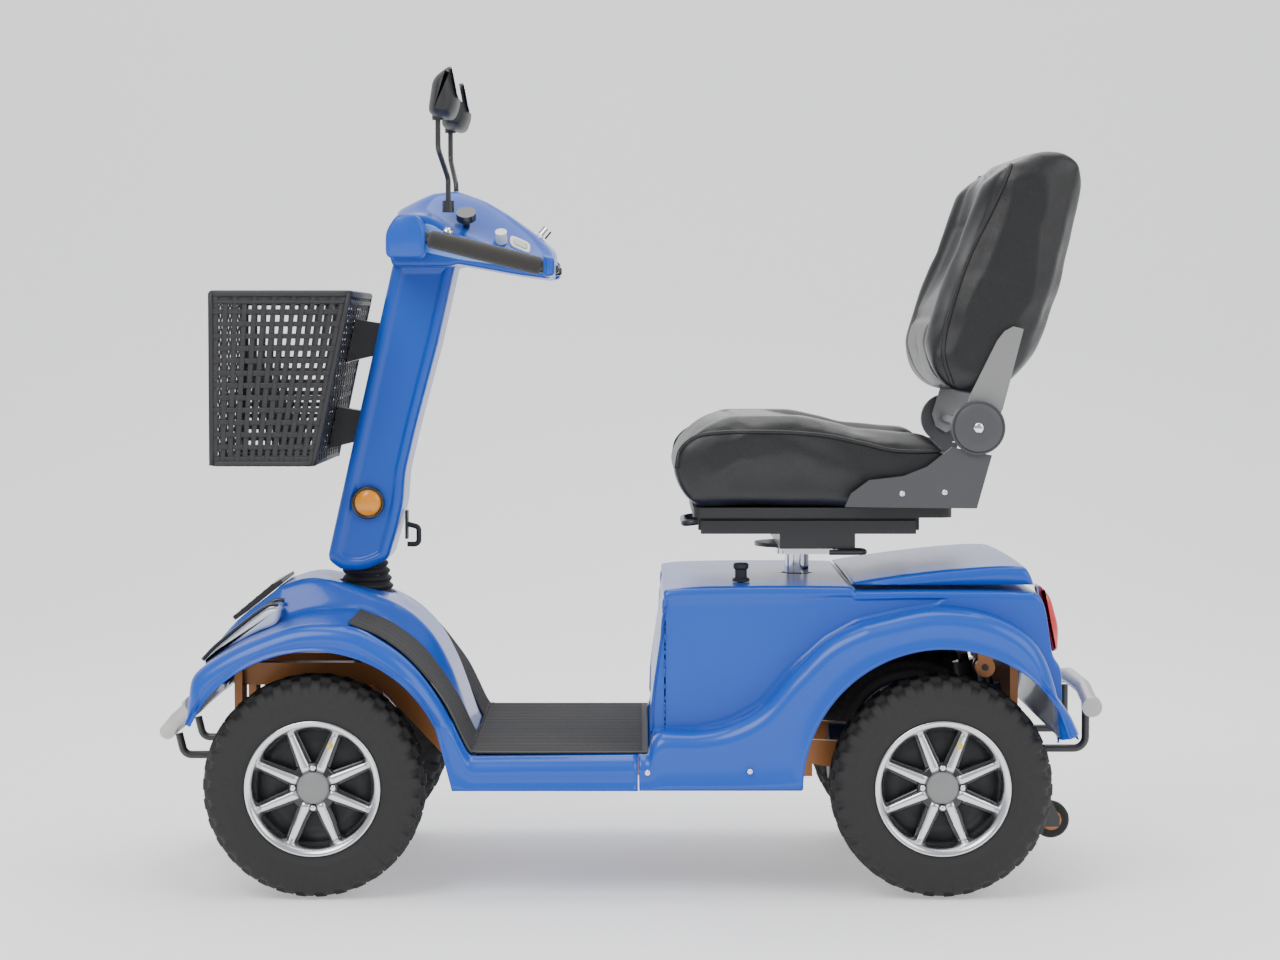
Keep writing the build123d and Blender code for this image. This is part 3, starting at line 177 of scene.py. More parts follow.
def grid_faces(rows, columns, close_rows=False, close_columns=False):
    """Quads between neighbouring grid points, wrapping round where asked."""
    r, c = np.meshgrid(np.arange(rows if close_rows else rows - 1),
                       np.arange(columns if close_columns else columns - 1), indexing="ij")
    down, right = (r + 1) % rows, (c + 1) % columns
    quads = np.stack([r * columns + c, r * columns + right, down * columns + right, down * columns + c], -1)
    return quads.reshape(-1, 4)


def make_object(name, verts, faces, material, smooth=True):
    """A mesh object in the scene from points and faces, its face directions worked out afresh."""
    mesh = bpy.data.meshes.new(name)
    mesh.from_pydata(verts.reshape(-1, 3).tolist(), [], faces)
    mesh.validate()
    mesh.update()
    piece = bpy.data.objects.new(name, mesh)
    bpy.context.scene.collection.objects.link(piece)
    mesh.materials.append(material)
    if smooth:
        mesh.polygons.foreach_set("use_smooth", [True] * len(mesh.polygons))
    work = bmesh.new()
    work.from_mesh(mesh)
    bmesh.ops.remove_doubles(work, verts=work.verts, dist=1e-6)
    bmesh.ops.recalc_face_normals(work, faces=work.faces)
    work.to_mesh(mesh)
    work.free()
    mesh.update()
    return piece


def grid_object(name, grid, finish_name, close_rows=False, close_columns=False, caps=False):
    """A surface from a grid of points; caps fill the first and last rows of a closed tube."""
    grid = np.asarray(grid, float)
    rows, columns = grid.shape[:2]
    faces = grid_faces(rows, columns, close_rows, close_columns).tolist()
    if caps:
        faces.append(list(range(columns))[::-1])
        faces.append([(rows - 1) * columns + k for k in range(columns)])
    return make_object(name, grid, faces, paint(finish_name))


def circle(count):
    """Cosines and sines of count equal steps round a circle."""
    angle = np.linspace(0, 2 * math.pi, count, endpoint=False)
    return np.cos(angle), np.sin(angle)


def tube(name, line, radius, finish_name, sides=16, closed=False):
    """A round section carried along a line: at each point the section stands square to the line,
    and its first axis is the previous one with its part along the line taken away."""
    line = np.asarray(line, float)
    ahead = unit(np.roll(line, -1, 0) - np.roll(line, 1, 0) if closed else np.gradient(line, axis=0))
    first = np.cross(ahead[0], [0.0, 0.0, 1.0])
    if np.linalg.norm(first) < 0.1:
        first = np.cross(ahead[0], [0.0, 1.0, 0.0])
    firsts = []
    for way in ahead:
        first = unit(first - way * (first @ way))
        firsts.append(first)
    firsts = np.array(firsts)
    c, s = circle(sides)
    section = firsts[:, None] * c[:, None] + np.cross(ahead, firsts)[:, None] * s[:, None]
    radii = np.broadcast_to(np.asarray(radius, float), (len(line),))[:, None, None]
    return grid_object(name, line[:, None] + radii * section, finish_name, closed, True, not closed)


def lathe_grid(profile, centre, axis, sides):
    """Outline of (radius, offset) pairs turned about an axis through centre: each point goes to
    centre plus offset along the axis plus radius times the turned pair of square directions."""
    axis = np.asarray(axis, float)
    helper = np.array([0.0, 0, 1]) if abs(axis[2]) < 0.9 else np.array([1.0, 0, 0])
    u = unit(np.cross(helper, axis))
    v = np.cross(axis, u)
    c, s = circle(sides)
    radius, offset = np.asarray(profile, float).T[:, :, None, None]
    return np.asarray(centre, float) + offset * axis + radius * (u * c[:, None] + v * s[:, None])


def lathe(name, profile, centre, axis, finish_name, sides=48, ring=False):
    """A turned piece: a closed ring, or closed where its outline starts and ends on the axis."""
    if not ring:
        profile = [(max(r, 1e-5), h) for r, h in profile]
    return grid_object(name, lathe_grid(profile, centre, axis, sides), finish_name, ring, True, not ring)


def joined(name, pieces):
    """Several pieces as one object, keeping their materials."""
    for other in bpy.context.selected_objects:
        other.select_set(False)
    for piece in pieces:
        piece.select_set(True)
    bpy.context.view_layer.objects.active = pieces[0]
    if len(pieces) > 1:
        bpy.ops.object.join()
    whole = bpy.context.view_layer.objects.active
    whole.name = whole.data.name = name
    return whole


def mounted(name, pieces, body, slot, *nodes):
    """The joined pieces ride on a body and stand for the nodes they replace; the slot argument is not used."""
    whole = joined(name, pieces)
    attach(whole, body)
    if nodes:
        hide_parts(*nodes)
    return whole


def applied(piece):
    """The piece with its modifiers worked into the mesh."""
    graph = bpy.context.evaluated_depsgraph_get()
    whole = bpy.data.meshes.new_from_object(piece.evaluated_get(graph), depsgraph=graph)
    old = piece.data
    piece.modifiers.clear()
    piece.data = whole
    bpy.data.meshes.remove(old)
    return piece


def walled(piece, thickness):
    """A wall grown inwards from an open skin."""
    wall = piece.modifiers.new("wall", "SOLIDIFY")
    wall.thickness = thickness
    wall.offset = -1
    return applied(piece)


# ------------------------------------------------------------------ material effects
def set_inputs(node, **values):
    """Constants on a node's sockets; an underscore stands for a space in the socket's name."""
    for label, value in values.items():
        node.inputs[label.replace("_", " ")].default_value = value


def new_group(name, inputs, outputs):
    """A shader node group with named sockets and an Object coordinate to work from."""
    group = bpy.data.node_groups.new(name, "ShaderNodeTree")
    for label, kind, value in inputs:
        group.interface.new_socket(name=label, in_out="INPUT", socket_type="NodeSocket" + kind).default_value = value
    for label, kind in outputs:
        group.interface.new_socket(name=label, in_out="OUTPUT", socket_type="NodeSocket" + kind)
    place = group.nodes.new("ShaderNodeTexCoord").outputs["Object"]
    return group, group.nodes.new("NodeGroupInput").outputs, group.nodes.new("NodeGroupOutput").inputs, place


def math_node(tree, operation, first, second, clamp=False):
    """The output of a Math node whose inputs are sockets or numbers."""
    node = tree.nodes.new("ShaderNodeMath")
    node.operation = operation
    node.use_clamp = clamp
    for value, socket in zip((first, second), node.inputs):
        if isinstance(value, (int, float)):
            socket.default_value = value
        else:
            tree.links.new(value, socket)
    return node.outputs[0]


def noise(tree, place, **values):
    """A noise texture on a coordinate."""
    node = tree.nodes.new("ShaderNodeTexNoise")
    set_inputs(node, **values)
    tree.links.new(place, node.inputs["Vector"])
    return node


def colour_mix(tree, factor):
    """A colour mix driven by a factor."""
    mix = tree.nodes.new("ShaderNodeMix")
    mix.data_type = "RGBA"
    tree.links.new(factor, mix.inputs["Factor"])
    return mix


def grain_group():
    """Two sizes of noise on object coordinates, giving a colour mix, roughness and height."""
    group, start, end, place = new_group(
        "grain",
        [("Dark", "Color", (0, 0, 0, 1)), ("Light", "Color", (1, 1, 1, 1)), ("Scale", "Float", 200.0),
         ("Rough", "Float", 0.4), ("Spread", "Float", 0.1)],
        [("Color", "Color"), ("Roughness", "Float"), ("Height", "Float")])
    fine = noise(group, place, Detail=4)
    broad = noise(group, place, Scale=7, Detail=3)
    both = math_node(group, "ADD", math_node(group, "MULTIPLY", fine.outputs["Fac"], 0.45),
                     math_node(group, "MULTIPLY", broad.outputs["Fac"], 0.55))
    mix = colour_mix(group, both)
    shift = math_node(group, "MULTIPLY", math_node(group, "SUBTRACT", both, 0.5), start["Spread"])
    rough = math_node(group, "ADD", shift, start["Rough"], clamp=True)
    for source, target in ((start["Scale"], fine.inputs["Scale"]), (start["Dark"], mix.inputs["A"]),
                           (start["Light"], mix.inputs["B"]), (mix.outputs["Result"], end["Color"]),
                           (rough, end["Roughness"]), (fine.outputs["Fac"], end["Height"])):
        group.links.new(source, target)
    return group


def leather_group():
    """Cells with creased borders for a grained leather: height is the distance to a cell's edge."""
    group, start, end, place = new_group("leather grain", [("Scale", "Float", 420.0)],
                                         [("Height", "Float"), ("Crease", "Float")])
    cells = group.nodes.new("ShaderNodeTexVoronoi")
    cells.feature = "DISTANCE_TO_EDGE"
    crease = math_node(group, "MULTIPLY", cells.outputs["Distance"], 3.2, clamp=True)
    folds = noise(group, place, Scale=34, Detail=5, Distortion=0.8)
    height = math_node(group, "ADD", math_node(group, "MULTIPLY", crease, 0.35), folds.outputs["Fac"])
    for source, target in ((place, cells.inputs["Vector"]), (start["Scale"], cells.inputs["Scale"]),
                           (height, end["Height"]), (crease, end["Crease"])):
        group.links.new(source, target)
    return group


EFFECTS = {"grain": grain_group, "leather": leather_group}


def new_material(name, effect, distance, strength):
    """A Principled material with an effect's group placed in it, whose height drives a bump."""
    if callable(EFFECTS[effect]):
        EFFECTS[effect] = EFFECTS[effect]()
    material = bpy.data.materials.new(name)
    material.use_nodes = True
    tree = material.node_tree
    shader = tree.nodes["Principled BSDF"]
    grain = tree.nodes.new("ShaderNodeGroup")
    grain.node_tree = EFFECTS[effect]
    relief = tree.nodes.new("ShaderNodeBump")
    set_inputs(relief, Strength=strength, Distance=distance)
    tree.links.new(grain.outputs["Height"], relief.inputs["Height"])
    tree.links.new(relief.outputs["Normal"], shader.inputs["Normal"])
    return material, tree, shader, grain


def lighter(value, amount):
    """A colour scaled up a little, as a shader's four numbers."""
    return (*(min(1.0, c * amount + 0.004) for c in value), 1)


def finish(name, base, light, rough, spread, scale, bump, metallic=0.0, coat=0.0, coat_rough=0.05, strength=0.3,
           sheen=0.0, emission=0.0, specular=0.5):
    """A material whose colour, roughness and normal come from the grain effect."""
    material, tree, shader, grain = new_material(name, "grain", bump, strength)
    set_inputs(grain, Dark=(*base, 1), Light=(*light, 1) if light else lighter(base, 1.25), Scale=scale,
               Rough=rough, Spread=spread)
    tree.links.new(grain.outputs["Color"], shader.inputs["Base Color"])
    tree.links.new(grain.outputs["Roughness"], shader.inputs["Roughness"])
    set_inputs(shader, Metallic=metallic, Coat_Weight=coat, Coat_Roughness=coat_rough, Sheen_Weight=sheen,
               Specular_IOR_Level=specular)
    if emission:
        set_inputs(shader, Emission_Color=(*base, 1), Emission_Strength=emission)
    return material


def leather(base):
    """Satin black leatherette: the leather effect drives height, roughness and painted shade in the grain's creases
    with painted light on the cell tops.
    """
    material, tree, shader, grain = new_material("leather", "leather", 0.0007, 0.5)
    set_inputs(grain, Scale=460)
    # painted shade and light: the grain's creases are darkened to 0.6 of the leather colour and the cell tops
    # lightened, as if shaded and lit
    mix = colour_mix(tree, grain.outputs["Crease"])
    set_inputs(mix, A=(*(0.6 * c for c in base), 1), B=lighter(base, 1.5))
    tree.links.new(mix.outputs["Result"], shader.inputs["Base Color"])
    rough = math_node(tree, "SUBTRACT", 0.50, math_node(tree, "MULTIPLY", grain.outputs["Height"], 0.16), clamp=True)
    tree.links.new(rough, shader.inputs["Roughness"])
    set_inputs(shader, Coat_Weight=0.12, Coat_Roughness=0.35)
    return material


# ------------------------------------------------------------------ materials
# base and light colours (or the property that holds them), roughness, its spread, grain scale, bump, others
FINISHES = {
    "body": ("body", "body_light", 0.30, 0.08, 900, 0.00005, dict(coat=0.22, strength=0.12, specular=0.35)),
    "body pale": ((0.16, 0.30, 0.72), None, 0.32, 0.1, 700, 0.00005, dict(coat=0.6, strength=0.15)),
    "black plastic": ("plastic", None, 0.48, 0.16, 1300, 0.0003, dict(strength=0.35)),
    "black gloss": ("plastic", None, 0.22, 0.10, 500, 0.0001, dict(coat=0.4)),
    "grey plastic": ("grey", None, 0.46, 0.16, 1300, 0.0003, dict(strength=0.35)),
    "recliner": ((0.20, 0.20, 0.20), None, 0.42, 0.14, 900, 0.0002, {}),
    "black steel": ((0.020, 0.020, 0.021), None, 0.38, 0.18, 650, 0.0003, dict(coat=0.25, coat_rough=0.2)),
    "copper": ("copper", (0.40, 0.17, 0.06), 0.36, 0.2, 1500, 0.0001, dict(metallic=0.75, coat=0.3, coat_rough=0.15)),
    "silver": ("silver", (0.50, 0.49, 0.47), 0.40, 0.16, 1200, 0.0001, dict(metallic=0.55, coat=0.2, coat_rough=0.2)),
    "alloy": ("alloy", (0.82, 0.83, 0.85), 0.24, 0.14, 800, 0.00008, dict(metallic=1.0)),
    "chrome": ((0.86, 0.86, 0.88), (0.92, 0.92, 0.93), 0.09, 0.08, 300, 0.00002, dict(metallic=1.0, strength=0.1)),
    "rubber": ("rubber", (0.022, 0.021, 0.020), 0.72, 0.2, 420, 0.0004, dict(strength=0.5)),
    "mat": ("mat", (0.036, 0.034, 0.031), 0.78, 0.16, 700, 0.0004, dict(strength=0.5, sheen=0.1)),
    "foam": ("foam", (0.040, 0.037, 0.032), 0.93, 0.12, 1500, 0.0012, dict(strength=0.9, sheen=0.35)),
    "amber": ("amber", (0.90, 0.36, 0.02), 0.22, 0.08, 300, 0.0001, dict(coat=0.3)),
    "red lens": ("red", (0.80, 0.10, 0.10), 0.14, 0.08, 300, 0.0001, dict(coat=0.8, emission=0.05)),
    "clear lens": ((0.78, 0.82, 0.86), (0.90, 0.93, 0.96), 0.08, 0.05, 300, 0.0001, dict(coat=1.0, emission=0.03)),
    "white": ((0.72, 0.72, 0.70), None, 0.35, 0.1, 700, 0.0001, dict(coat=0.3)),
    "screen": ((0.36, 0.40, 0.30), None, 0.18, 0.06, 300, 0.00005, dict(coat=0.9)),
    "yellow": ((0.75, 0.55, 0.03), None, 0.4, 0.1, 700, 0.0001, {}),
    "battery": ((0.028, 0.028, 0.030), None, 0.55, 0.18, 900, 0.0003, {}),
    "casting": ((0.16, 0.16, 0.17), None, 0.58, 0.2, 600, 0.0006, dict(metallic=0.7, strength=0.5)),
    "mirror glass": ((0.85, 0.87, 0.90), (0.88, 0.90, 0.92), 0.03, 0.03, 200, 0.00001,
                     dict(metallic=1.0, strength=0.05)),
    "basket": ((0.016, 0.016, 0.017), (0.034, 0.034, 0.036), 0.55, 0.2, 1100, 0.0004, dict(strength=0.5)),
    "studio floor": ((0.86, 0.86, 0.86), (0.88, 0.88, 0.88), 0.8, 0.04, 3, 0.0001, dict(emission=0.50)),
}
PAINTS = {}


def paint(name):
    """The named finish, made once."""
    if name not in PAINTS:
        hues = bpy.context.scene.scooter_colours
        if name == "leather":
            PAINTS[name] = leather(hues.leather)
        else:
            *tints, rough, spread, scale, bump, others = FINISHES[name]
            base, light = (tuple(getattr(hues, tint)) if isinstance(tint, str) else tint for tint in tints)
            PAINTS[name] = finish(name, base, light, rough, spread, scale, bump, **others)
    return PAINTS[name]


CAD_FINISH = {
    "copper": "left_frame_rail right_frame_rail frame_cross_members front_subframe swing_arm",
    "black steel": "bumper_stays anti_tip_bracket shock_absorbers steering_shaft tie_rods tiller_column seat_rails "
                   "swivel_lever slide_lever basket_brackets mirror_stems grip_bars",
    "black plastic": "seat_pan bag_hook deck_lock_knob front_grille mirror_head_left mirror_head_right",
    "black gloss": "throttle_lever speed_dial",
    "casting": "transaxle knuckle_left knuckle_right",
    "chrome": "seat_post ignition_key",
    "silver": "front_bumper rear_bumper",
    "rubber": "anti_tip_wheel_left anti_tip_wheel_right",
    "battery": "batteries",
    "grey plastic": "seat_side_covers",
    "recliner": "backrest_frame",
    "white": "horn_button",
    "red lens": "tail_lights",
    "clear lens": "headlights",
    "amber": "amber_lamps",
}


class SCOOTER_OT_frame_parts(bpy.types.Operator):
    """Give the frame's own hard pieces their finishes"""
    bl_idname = "scooter.frame_parts"
    bl_label = "Frame parts"

    def execute(self, context):
        for name, nodes in CAD_FINISH.items():
            for node in nodes.split():
                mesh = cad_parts[node].data
                mesh.materials.clear()
                mesh.materials.append(paint(name))
        return {"FINISHED"}


# ------------------------------------------------------------------ wheels
def tyre_section(half, outer, bead, count):
    """Half-open outline of the tyre's cut as (radius, offset): a rounded square whose crown is
    nearly flat, whose walls bulge and whose beads tuck in to the rim."""
    points = [(bead - 0.004, -half * 0.62), (bead, -half * 0.80), (bead + 0.014, -half * 0.93),
              (bead + 0.034, -half * 0.995), (outer - 0.030, -half * 0.985), (outer - 0.012, -half * 0.90),
              (outer - 0.0035, -half * 0.66), (outer - 0.0005, -half * 0.33), (outer, 0.0)]
    return curve(points + [(r, -y) for r, y in points[-2::-1]], count)


def plateau(value, low, high, soft):
    """1 between low and high, falling to 0 outside over a soft width."""
    return ramp(low, low + soft, value) * (1 - ramp(high - soft, high, value))


def tread_height(angle, across, blocks):
    """Block pattern: offset rows of lugs.  Each lug is a smooth plateau in angle and across; the
    middle row is shifted half a pitch from the shoulders and leans."""
    pitch = angle * blocks / (2 * math.pi)
    side = np.abs(across)
    rows = [plateau((pitch + shift) % 1.0, 0.0, duty, 0.10) * plateau(side, low, high, soft)
            for shift, duty, low, high, soft in ((0.35 * across, 0.70, -0.2, 0.24, 0.06), (0.5, 0.72, 0.30, 0.60, 0.07),
                                                 (0.0, 0.62, 0.66, 1.02, 0.07))]
    return np.maximum.reduce(rows)


def build_tyre(node):
    """A closed section turned about the axle; the crown's points move out by the tread's height
    and the base lies that much lower, so the lug tops keep the tyre's size."""
    low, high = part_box(node)
    centre = (low + high) / 2
    half = (high.y - low.y) / 2
    outer = (high.z - low.z) / 2
    r, y = tyre_section(half - 0.0005, outer - 0.0004, 0.097, 76).T
    angles = np.linspace(0, 2 * math.pi, 504, endpoint=False)[:, None]
    lift = tread_height(angles, y / half, 34)
    depth = bpy.context.scene.scooter_sizes.tread_depth
    radius = r - depth * ramp(outer - 0.034, outer - 0.016, r) * (1 - lift)
    # a raised ring near the bead and a ring of fine teeth outside it
    wall = 0.0010 * plateau(r, 0.108, 0.120, 0.004)
    teeth = 0.0006 * plateau(r, 0.122, 0.133, 0.003) * (0.5 + 0.5 * np.cos(angles * 60) > 0.5)
    grid = np.stack([centre.x + radius * np.cos(angles), centre.y + y + np.sign(y) * (wall + teeth),
                     centre.z + radius * np.sin(angles)], -1)
    return grid_object("tyre", grid, "rubber", close_rows=True, close_columns=True)


def spoke_grid(start, end, start_width, end_width, height, turn, centre, side, face):
    """A bar along a wheel's radius whose section is a half-round: at each radius the width blends
    between its ends and the face falls from the hub to the lip."""
    t = np.linspace(0, 1, 9)[:, None]
    radius = start + (end - start) * t
    angle = np.linspace(0, math.pi, 9)
    across = np.cos(angle) * (start_width + (end_width - start_width) * t)
    out = face[0] + (face[1] - face[0]) * t + np.sin(angle) ** 0.5 * height - height
    foot = np.broadcast_to(out.min(1, keepdims=True) - 0.012, (9, 2))
    across = np.concatenate([across, across[:, [-1, 0]]], 1)
    out = np.concatenate([out, foot], 1)
    c, s = math.cos(turn), math.sin(turn)
    return np.stack([centre.x + radius * c - across * s, centre.y + side * out,
                     centre.z + radius * s + across * c], -1)


# (radius, offset) outlines of the wheel's turned pieces
RIM_RING = [(0.0925, 0.046), (0.0975, 0.049), (0.1005, 0.0485), (0.1000, 0.044), (0.0945, 0.034), (0.0935, -0.034),
            (0.1000, -0.044), (0.1000, -0.048), (0.0960, -0.048), (0.0880, -0.036), (0.0840, 0.004), (0.0850, 0.026),
            (0.0885, 0.040)]
POCKET = [(0, 0.006), (0.030, 0.006), (0.060, 0.004), (0.0855, 0.008), (0.0855, 0.000), (0, -0.004)]
HUB_CAP = [(0, 0.0415), (0.020, 0.0410), (0.0225, 0.0390), (0.0240, 0.0340), (0.0240, 0.002), (0, 0.002)]
FLANGE = [(0, 0.0335), (0.034, 0.0335), (0.0365, 0.0315), (0.0375, 0.0270), (0.0375, 0.002), (0, 0.002)]
LUG_NUT = [(0, 0.0405), (0.0030, 0.0405), (0.0048, 0.0385), (0.0052, 0.0330), (0, 0.0330)]


def build_rim(tyre_node, side, driven):
    """Rim barrel, machined lip, spokes, black pockets, hub cap, bolts and valve; a driven wheel has
    its half shaft."""
    centre = middle(tyre_node)
    axis = (0, side, 0)
    pieces = [lathe("lip", RIM_RING, centre, axis, "alloy", 72, ring=True),
              lathe("pocket", POCKET, centre, axis, "black plastic", 48)]
    for k in range(8):
        turn = 2 * math.pi * (k + 0.5) / 8
        # the machined spoke, and the thin black web on each side of it
        for hue, face, *cut in (("alloy", (0.036, 0.032), 0.024, 0.0885, 0.0075, 0.0052, 0.006),
                                ("black gloss", (0.029, 0.024), 0.022, 0.0870, 0.0130, 0.0095, 0.004)):
            grid = spoke_grid(*cut, turn, centre, side, face)
            pieces.append(grid_object("spoke", grid, hue, close_columns=True, caps=True))
    pieces.append(lathe("cap", HUB_CAP, centre, axis, "recliner", 40))
    pieces.append(lathe("flange", FLANGE, centre, axis, "black gloss", 40))
    for c, s in zip(*circle(4)):
        spot = (centre.x + 0.0295 * c, centre.y, centre.z + 0.0295 * s)
        pieces.append(lathe("bolt", LUG_NUT, spot, axis, "chrome", 6))
    if driven:
        shaft = [(centre.x, side * y, centre.z) for y in np.linspace(0.235, 0.078, 4)]
        pieces.append(tube("shaft", shaft, 0.008, "casting", 20))
    c, s = math.cos(math.radians(68)), math.sin(math.radians(68))
    foot, tip = (np.array([centre.x + r * c, centre.y + side * y, centre.z + r * s])
                 for r, y in ((0.0780, 0.010), (0.0640, 0.041)))
    for start, end, count, radius, hue in ((0, 0.62, 4, 0.0026, "black plastic"),
                                           (0.60, 1.0, 5, [0.0036, 0.0040, 0.0040, 0.0036, 0.0022], "yellow")):
        line = foot + (tip - foot) * np.linspace(start, end, count)[:, None]
        pieces.append(tube("valve", line, radius, hue, 10))
    return pieces


class SCOOTER_OT_wheels(bpy.types.Operator):
    """Build the four treaded tyres and their spoked rims"""
    bl_idname = "scooter.wheels"
    bl_label = "Wheels"

    def execute(self, context):
        for end in ("front", "rear"):
            for hand, side in SIDES.items():
                wheel = f"{end}_{hand}"
                tyre = build_tyre(wheel + "_tyre")
                mounted(wheel + "_tyre_look", [tyre], wheel + "_wheel", "tyre_rubber", wheel + "_tyre")
                rim = build_rim(wheel + "_tyre", side, end == "rear")
                mounted(wheel + "_rim_look", rim, wheel + "_wheel", "wheel_alloy", wheel + "_rim")
        return {"FINISHED"}


# ------------------------------------------------------------------ body shells
# side outlines as (X, Z) in millimetres; the first two and the deck's are offsets from an axle
WING_TOP_FRONT = [(-186, 262), (-183, 292), (-176, 330), (-146, 356), (-93, 384), (-21, 408), (52, 408), (101, 387),
                  (149, 349), (192, 290), (226, 222), (240, 214)]
HUMP_TOP = [(-187, 262), (-186, 316), (-180, 340), (-142, 388), (-82, 436), (-66, 447), (-9, 456), (94, 424),
            (151, 384), (190, 322), (226, 224), (240, 214)]
SEAT_BOX_TOP = [(21.5, 216), (39, 216), (43, 300), (55, 391), (61, 438), (83, 456), (319, 458), (345, 452),
                (449, 452), (579, 450), (619, 440), (635, 361), (648, 332), (649, 262), (645, 236)]
CREASE = [(50, 246), (111, 248), (158, 260), (204, 286), (251, 341), (297, 383), (344, 409), (414, 425), (461, 432),
          (489, 448), (500, 476)]
WING_TOP_REAR = [(21.8, 215), (36, 216), (42, 234), (50, 245), (64, 248), (111, 248), (158, 258), (204, 284),
                 (251, 336), (297, 380), (344, 404), (368, 411), (438, 427), (489, 428), (544, 417), (591, 392),
                 (618, 357), (637, 300), (645, 236)]
DECK_TOP = [(-130, 457), (-127, 460), (-122, 465), (-28, 479), (72, 489), (121, 489), (134, 480), (141, 462),
            (141, 457)]
ARCH = 0.203            # radius of the wheel arches
WING_EDGE = BODY_HALF - 0.001
BOX_HALF = 0.262        # half the seat box's width
SKIRT_END = 0.204       # X where the rear skirt meets the arch


def metres(points):
    """Millimetres as metres."""
    return np.asarray(points, float) / 1000


def placed(points, axle):
    """Millimetre (X, Z) offsets from an axle as metres in the frame."""
    return np.array([(axle.x + x / 1000, z / 1000) for x, z in points])


def arch_point(top, axle, radius):
    """The wheel arch's point on the line from the axle to a top point."""
    hub = np.array([axle.x, axle.z])
    return hub + radius * unit(top - hub)


def wing_across(inner, outer, roll, count_flat, count_roll):
    """A wing's cut as Y values from inner to outer and the drop of its rolled corner at each."""
    angle = np.linspace(0, math.pi / 2, count_roll)[1:]
    y = np.concatenate([np.linspace(inner, outer - roll, count_flat), outer - roll + roll * np.sin(angle)])
    return zip(y, np.concatenate([np.zeros(count_flat), roll * (1 - np.cos(angle))]))


def wing_columns(inner, count, top_at, crown_at, edge, inward):
    """A wing's columns: the top outline carried out from inner, crowned and rolled over at the
    wing's edge, dropped to the arch's edge and returned inwards under it."""
    columns = []
    for y, drop in wing_across(inner, WING_EDGE, bpy.context.scene.scooter_sizes.flange_roll, count, 9):
        line = top_at(y)
        reach = np.linalg.norm(edge - line, axis=1)[:, None]
        fall = np.minimum(drop, reach * 0.6) + np.minimum(crown_at(y), reach * 0.1)
        line = line + (edge - line) / reach * fall
        columns.append(at_y(line, y))
    for share in np.linspace(0, 1, 9)[1:]:
        columns.append(at_y(line * (1 - share) + edge * share, WING_EDGE - 0.0035 * math.sin(share * math.pi)))
    for y, share in ((BODY_HALF - 0.006, 0.5), (BODY_HALF - 0.016, 1.0)):
        columns.append(at_y(edge * (1 - share) + inward * share, y))
    return columns


def front_shell_grid():
    """The whole front body across its width.  Each station blends the central hump's outline into
    the wing's by a smooth step in |Y|."""
    floor = np.stack([np.linspace(FRONT_AXLE.x + 0.248, SEAM_X, 26), np.full(26, FLOOR_Z - 0.0005)], 1)
    wing, hump = (np.vstack([respaced(curve(placed(points, FRONT_AXLE), 300), 150), floor])
                  for points in (WING_TOP_FRONT, HUMP_TOP))
    edge = arch_point(wing, FRONT_AXLE, ARCH)
    low = np.array([np.maximum(wing[:, 0], FRONT_AXLE.x + ARCH), np.full(len(wing), SKIRT_Z)]).T
    behind = np.arctan2(edge[:, 1] - FRONT_AXLE.z, edge[:, 0] - FRONT_AXLE.x) < 0.28
    behind = ((wing[:, 0] > FRONT_AXLE.x + 0.205) | behind)[:, None]
    edge = np.where(behind, low, edge)
    inward = np.where(behind, edge + np.array([[0.0, 0.004]]), arch_point(edge, FRONT_AXLE, ARCH + 0.006))
    swell_line = np.sin(np.linspace(0, math.pi, len(wing)))[:, None]

    def top_at(y):
        share = ramp(0.082, 0.118, y)
        return hump * (1 - share) + wing * share

    return mirrored(wing_columns(0.0, 66, top_at, lambda y: 0.004 * ramp(0.12, 0.30, y) * swell_line, edge, inward))


def open_round(piece, x, y, radius, reach, above):
    """A round upright hole opened in a skin: points nearer the axis than reach move out along their
    radius so that the innermost lie on the hole, and the faces inside it are taken away."""
    core = radius * 0.72
    work = bmesh.new()
    work.from_mesh(piece.data)
    near = {v: math.hypot(v.co.x - x, v.co.y - y) for v in work.verts if v.co.z > above}
    near = {v: away for v, away in near.items() if away < reach}
    inside = [f for f in work.faces if all(near.get(v, reach) < core for v in f.verts)]
    bmesh.ops.delete(work, geom=inside, context="FACES")
    for v, away in near.items():
        if v.is_valid:
            goal = radius if v.is_boundary else radius + (reach - radius) * max(0.0, away - core) / (reach - core)
            v.co.x = x + (v.co.x - x) * goal / away
            v.co.y = y + (v.co.y - y) * goal / away
    work.to_mesh(piece.data)
    work.free()
    piece.data.update()


def well(axle, radius, inner, start, end, side):
    """The liner over a wheel: an arc about the axle carried across."""
    angle = np.linspace(math.radians(start), math.radians(end), 48)
    arc = np.stack([axle.x + radius * np.cos(angle), axle.z + radius * np.sin(angle)], 1)
    outer = BODY_HALF - 0.014
    grid = np.stack([at_y(arc, side * y) for y in (inner, (inner + outer) / 2, outer)], 1)
    return walled(grid_object("well", grid, "black plastic"), 0.002)


class SCOOTER_OT_front_body(bpy.types.Operator):
    """Build the front shell with its hump, wings and wheel wells"""
    bl_idname = "scooter.front_body"
    bl_label = "Front body"

    def execute(self, context):
        shell = grid_object("front_shell", front_shell_grid(), "body")
        column = middle("tiller_bellows")
        open_round(shell, column.x, column.y, 0.0445, 0.080, 0.36)
        pieces = [walled(shell, context.scene.scooter_sizes.shell_wall)]
        pieces += [well(FRONT_AXLE, 0.2085, 0.114, 12, 150, side) for side in SIDES.values()]
        mounted("front_shell_look", pieces, "chassis", "blue_shell", "front_body_shell")
        return {"FINISHED"}


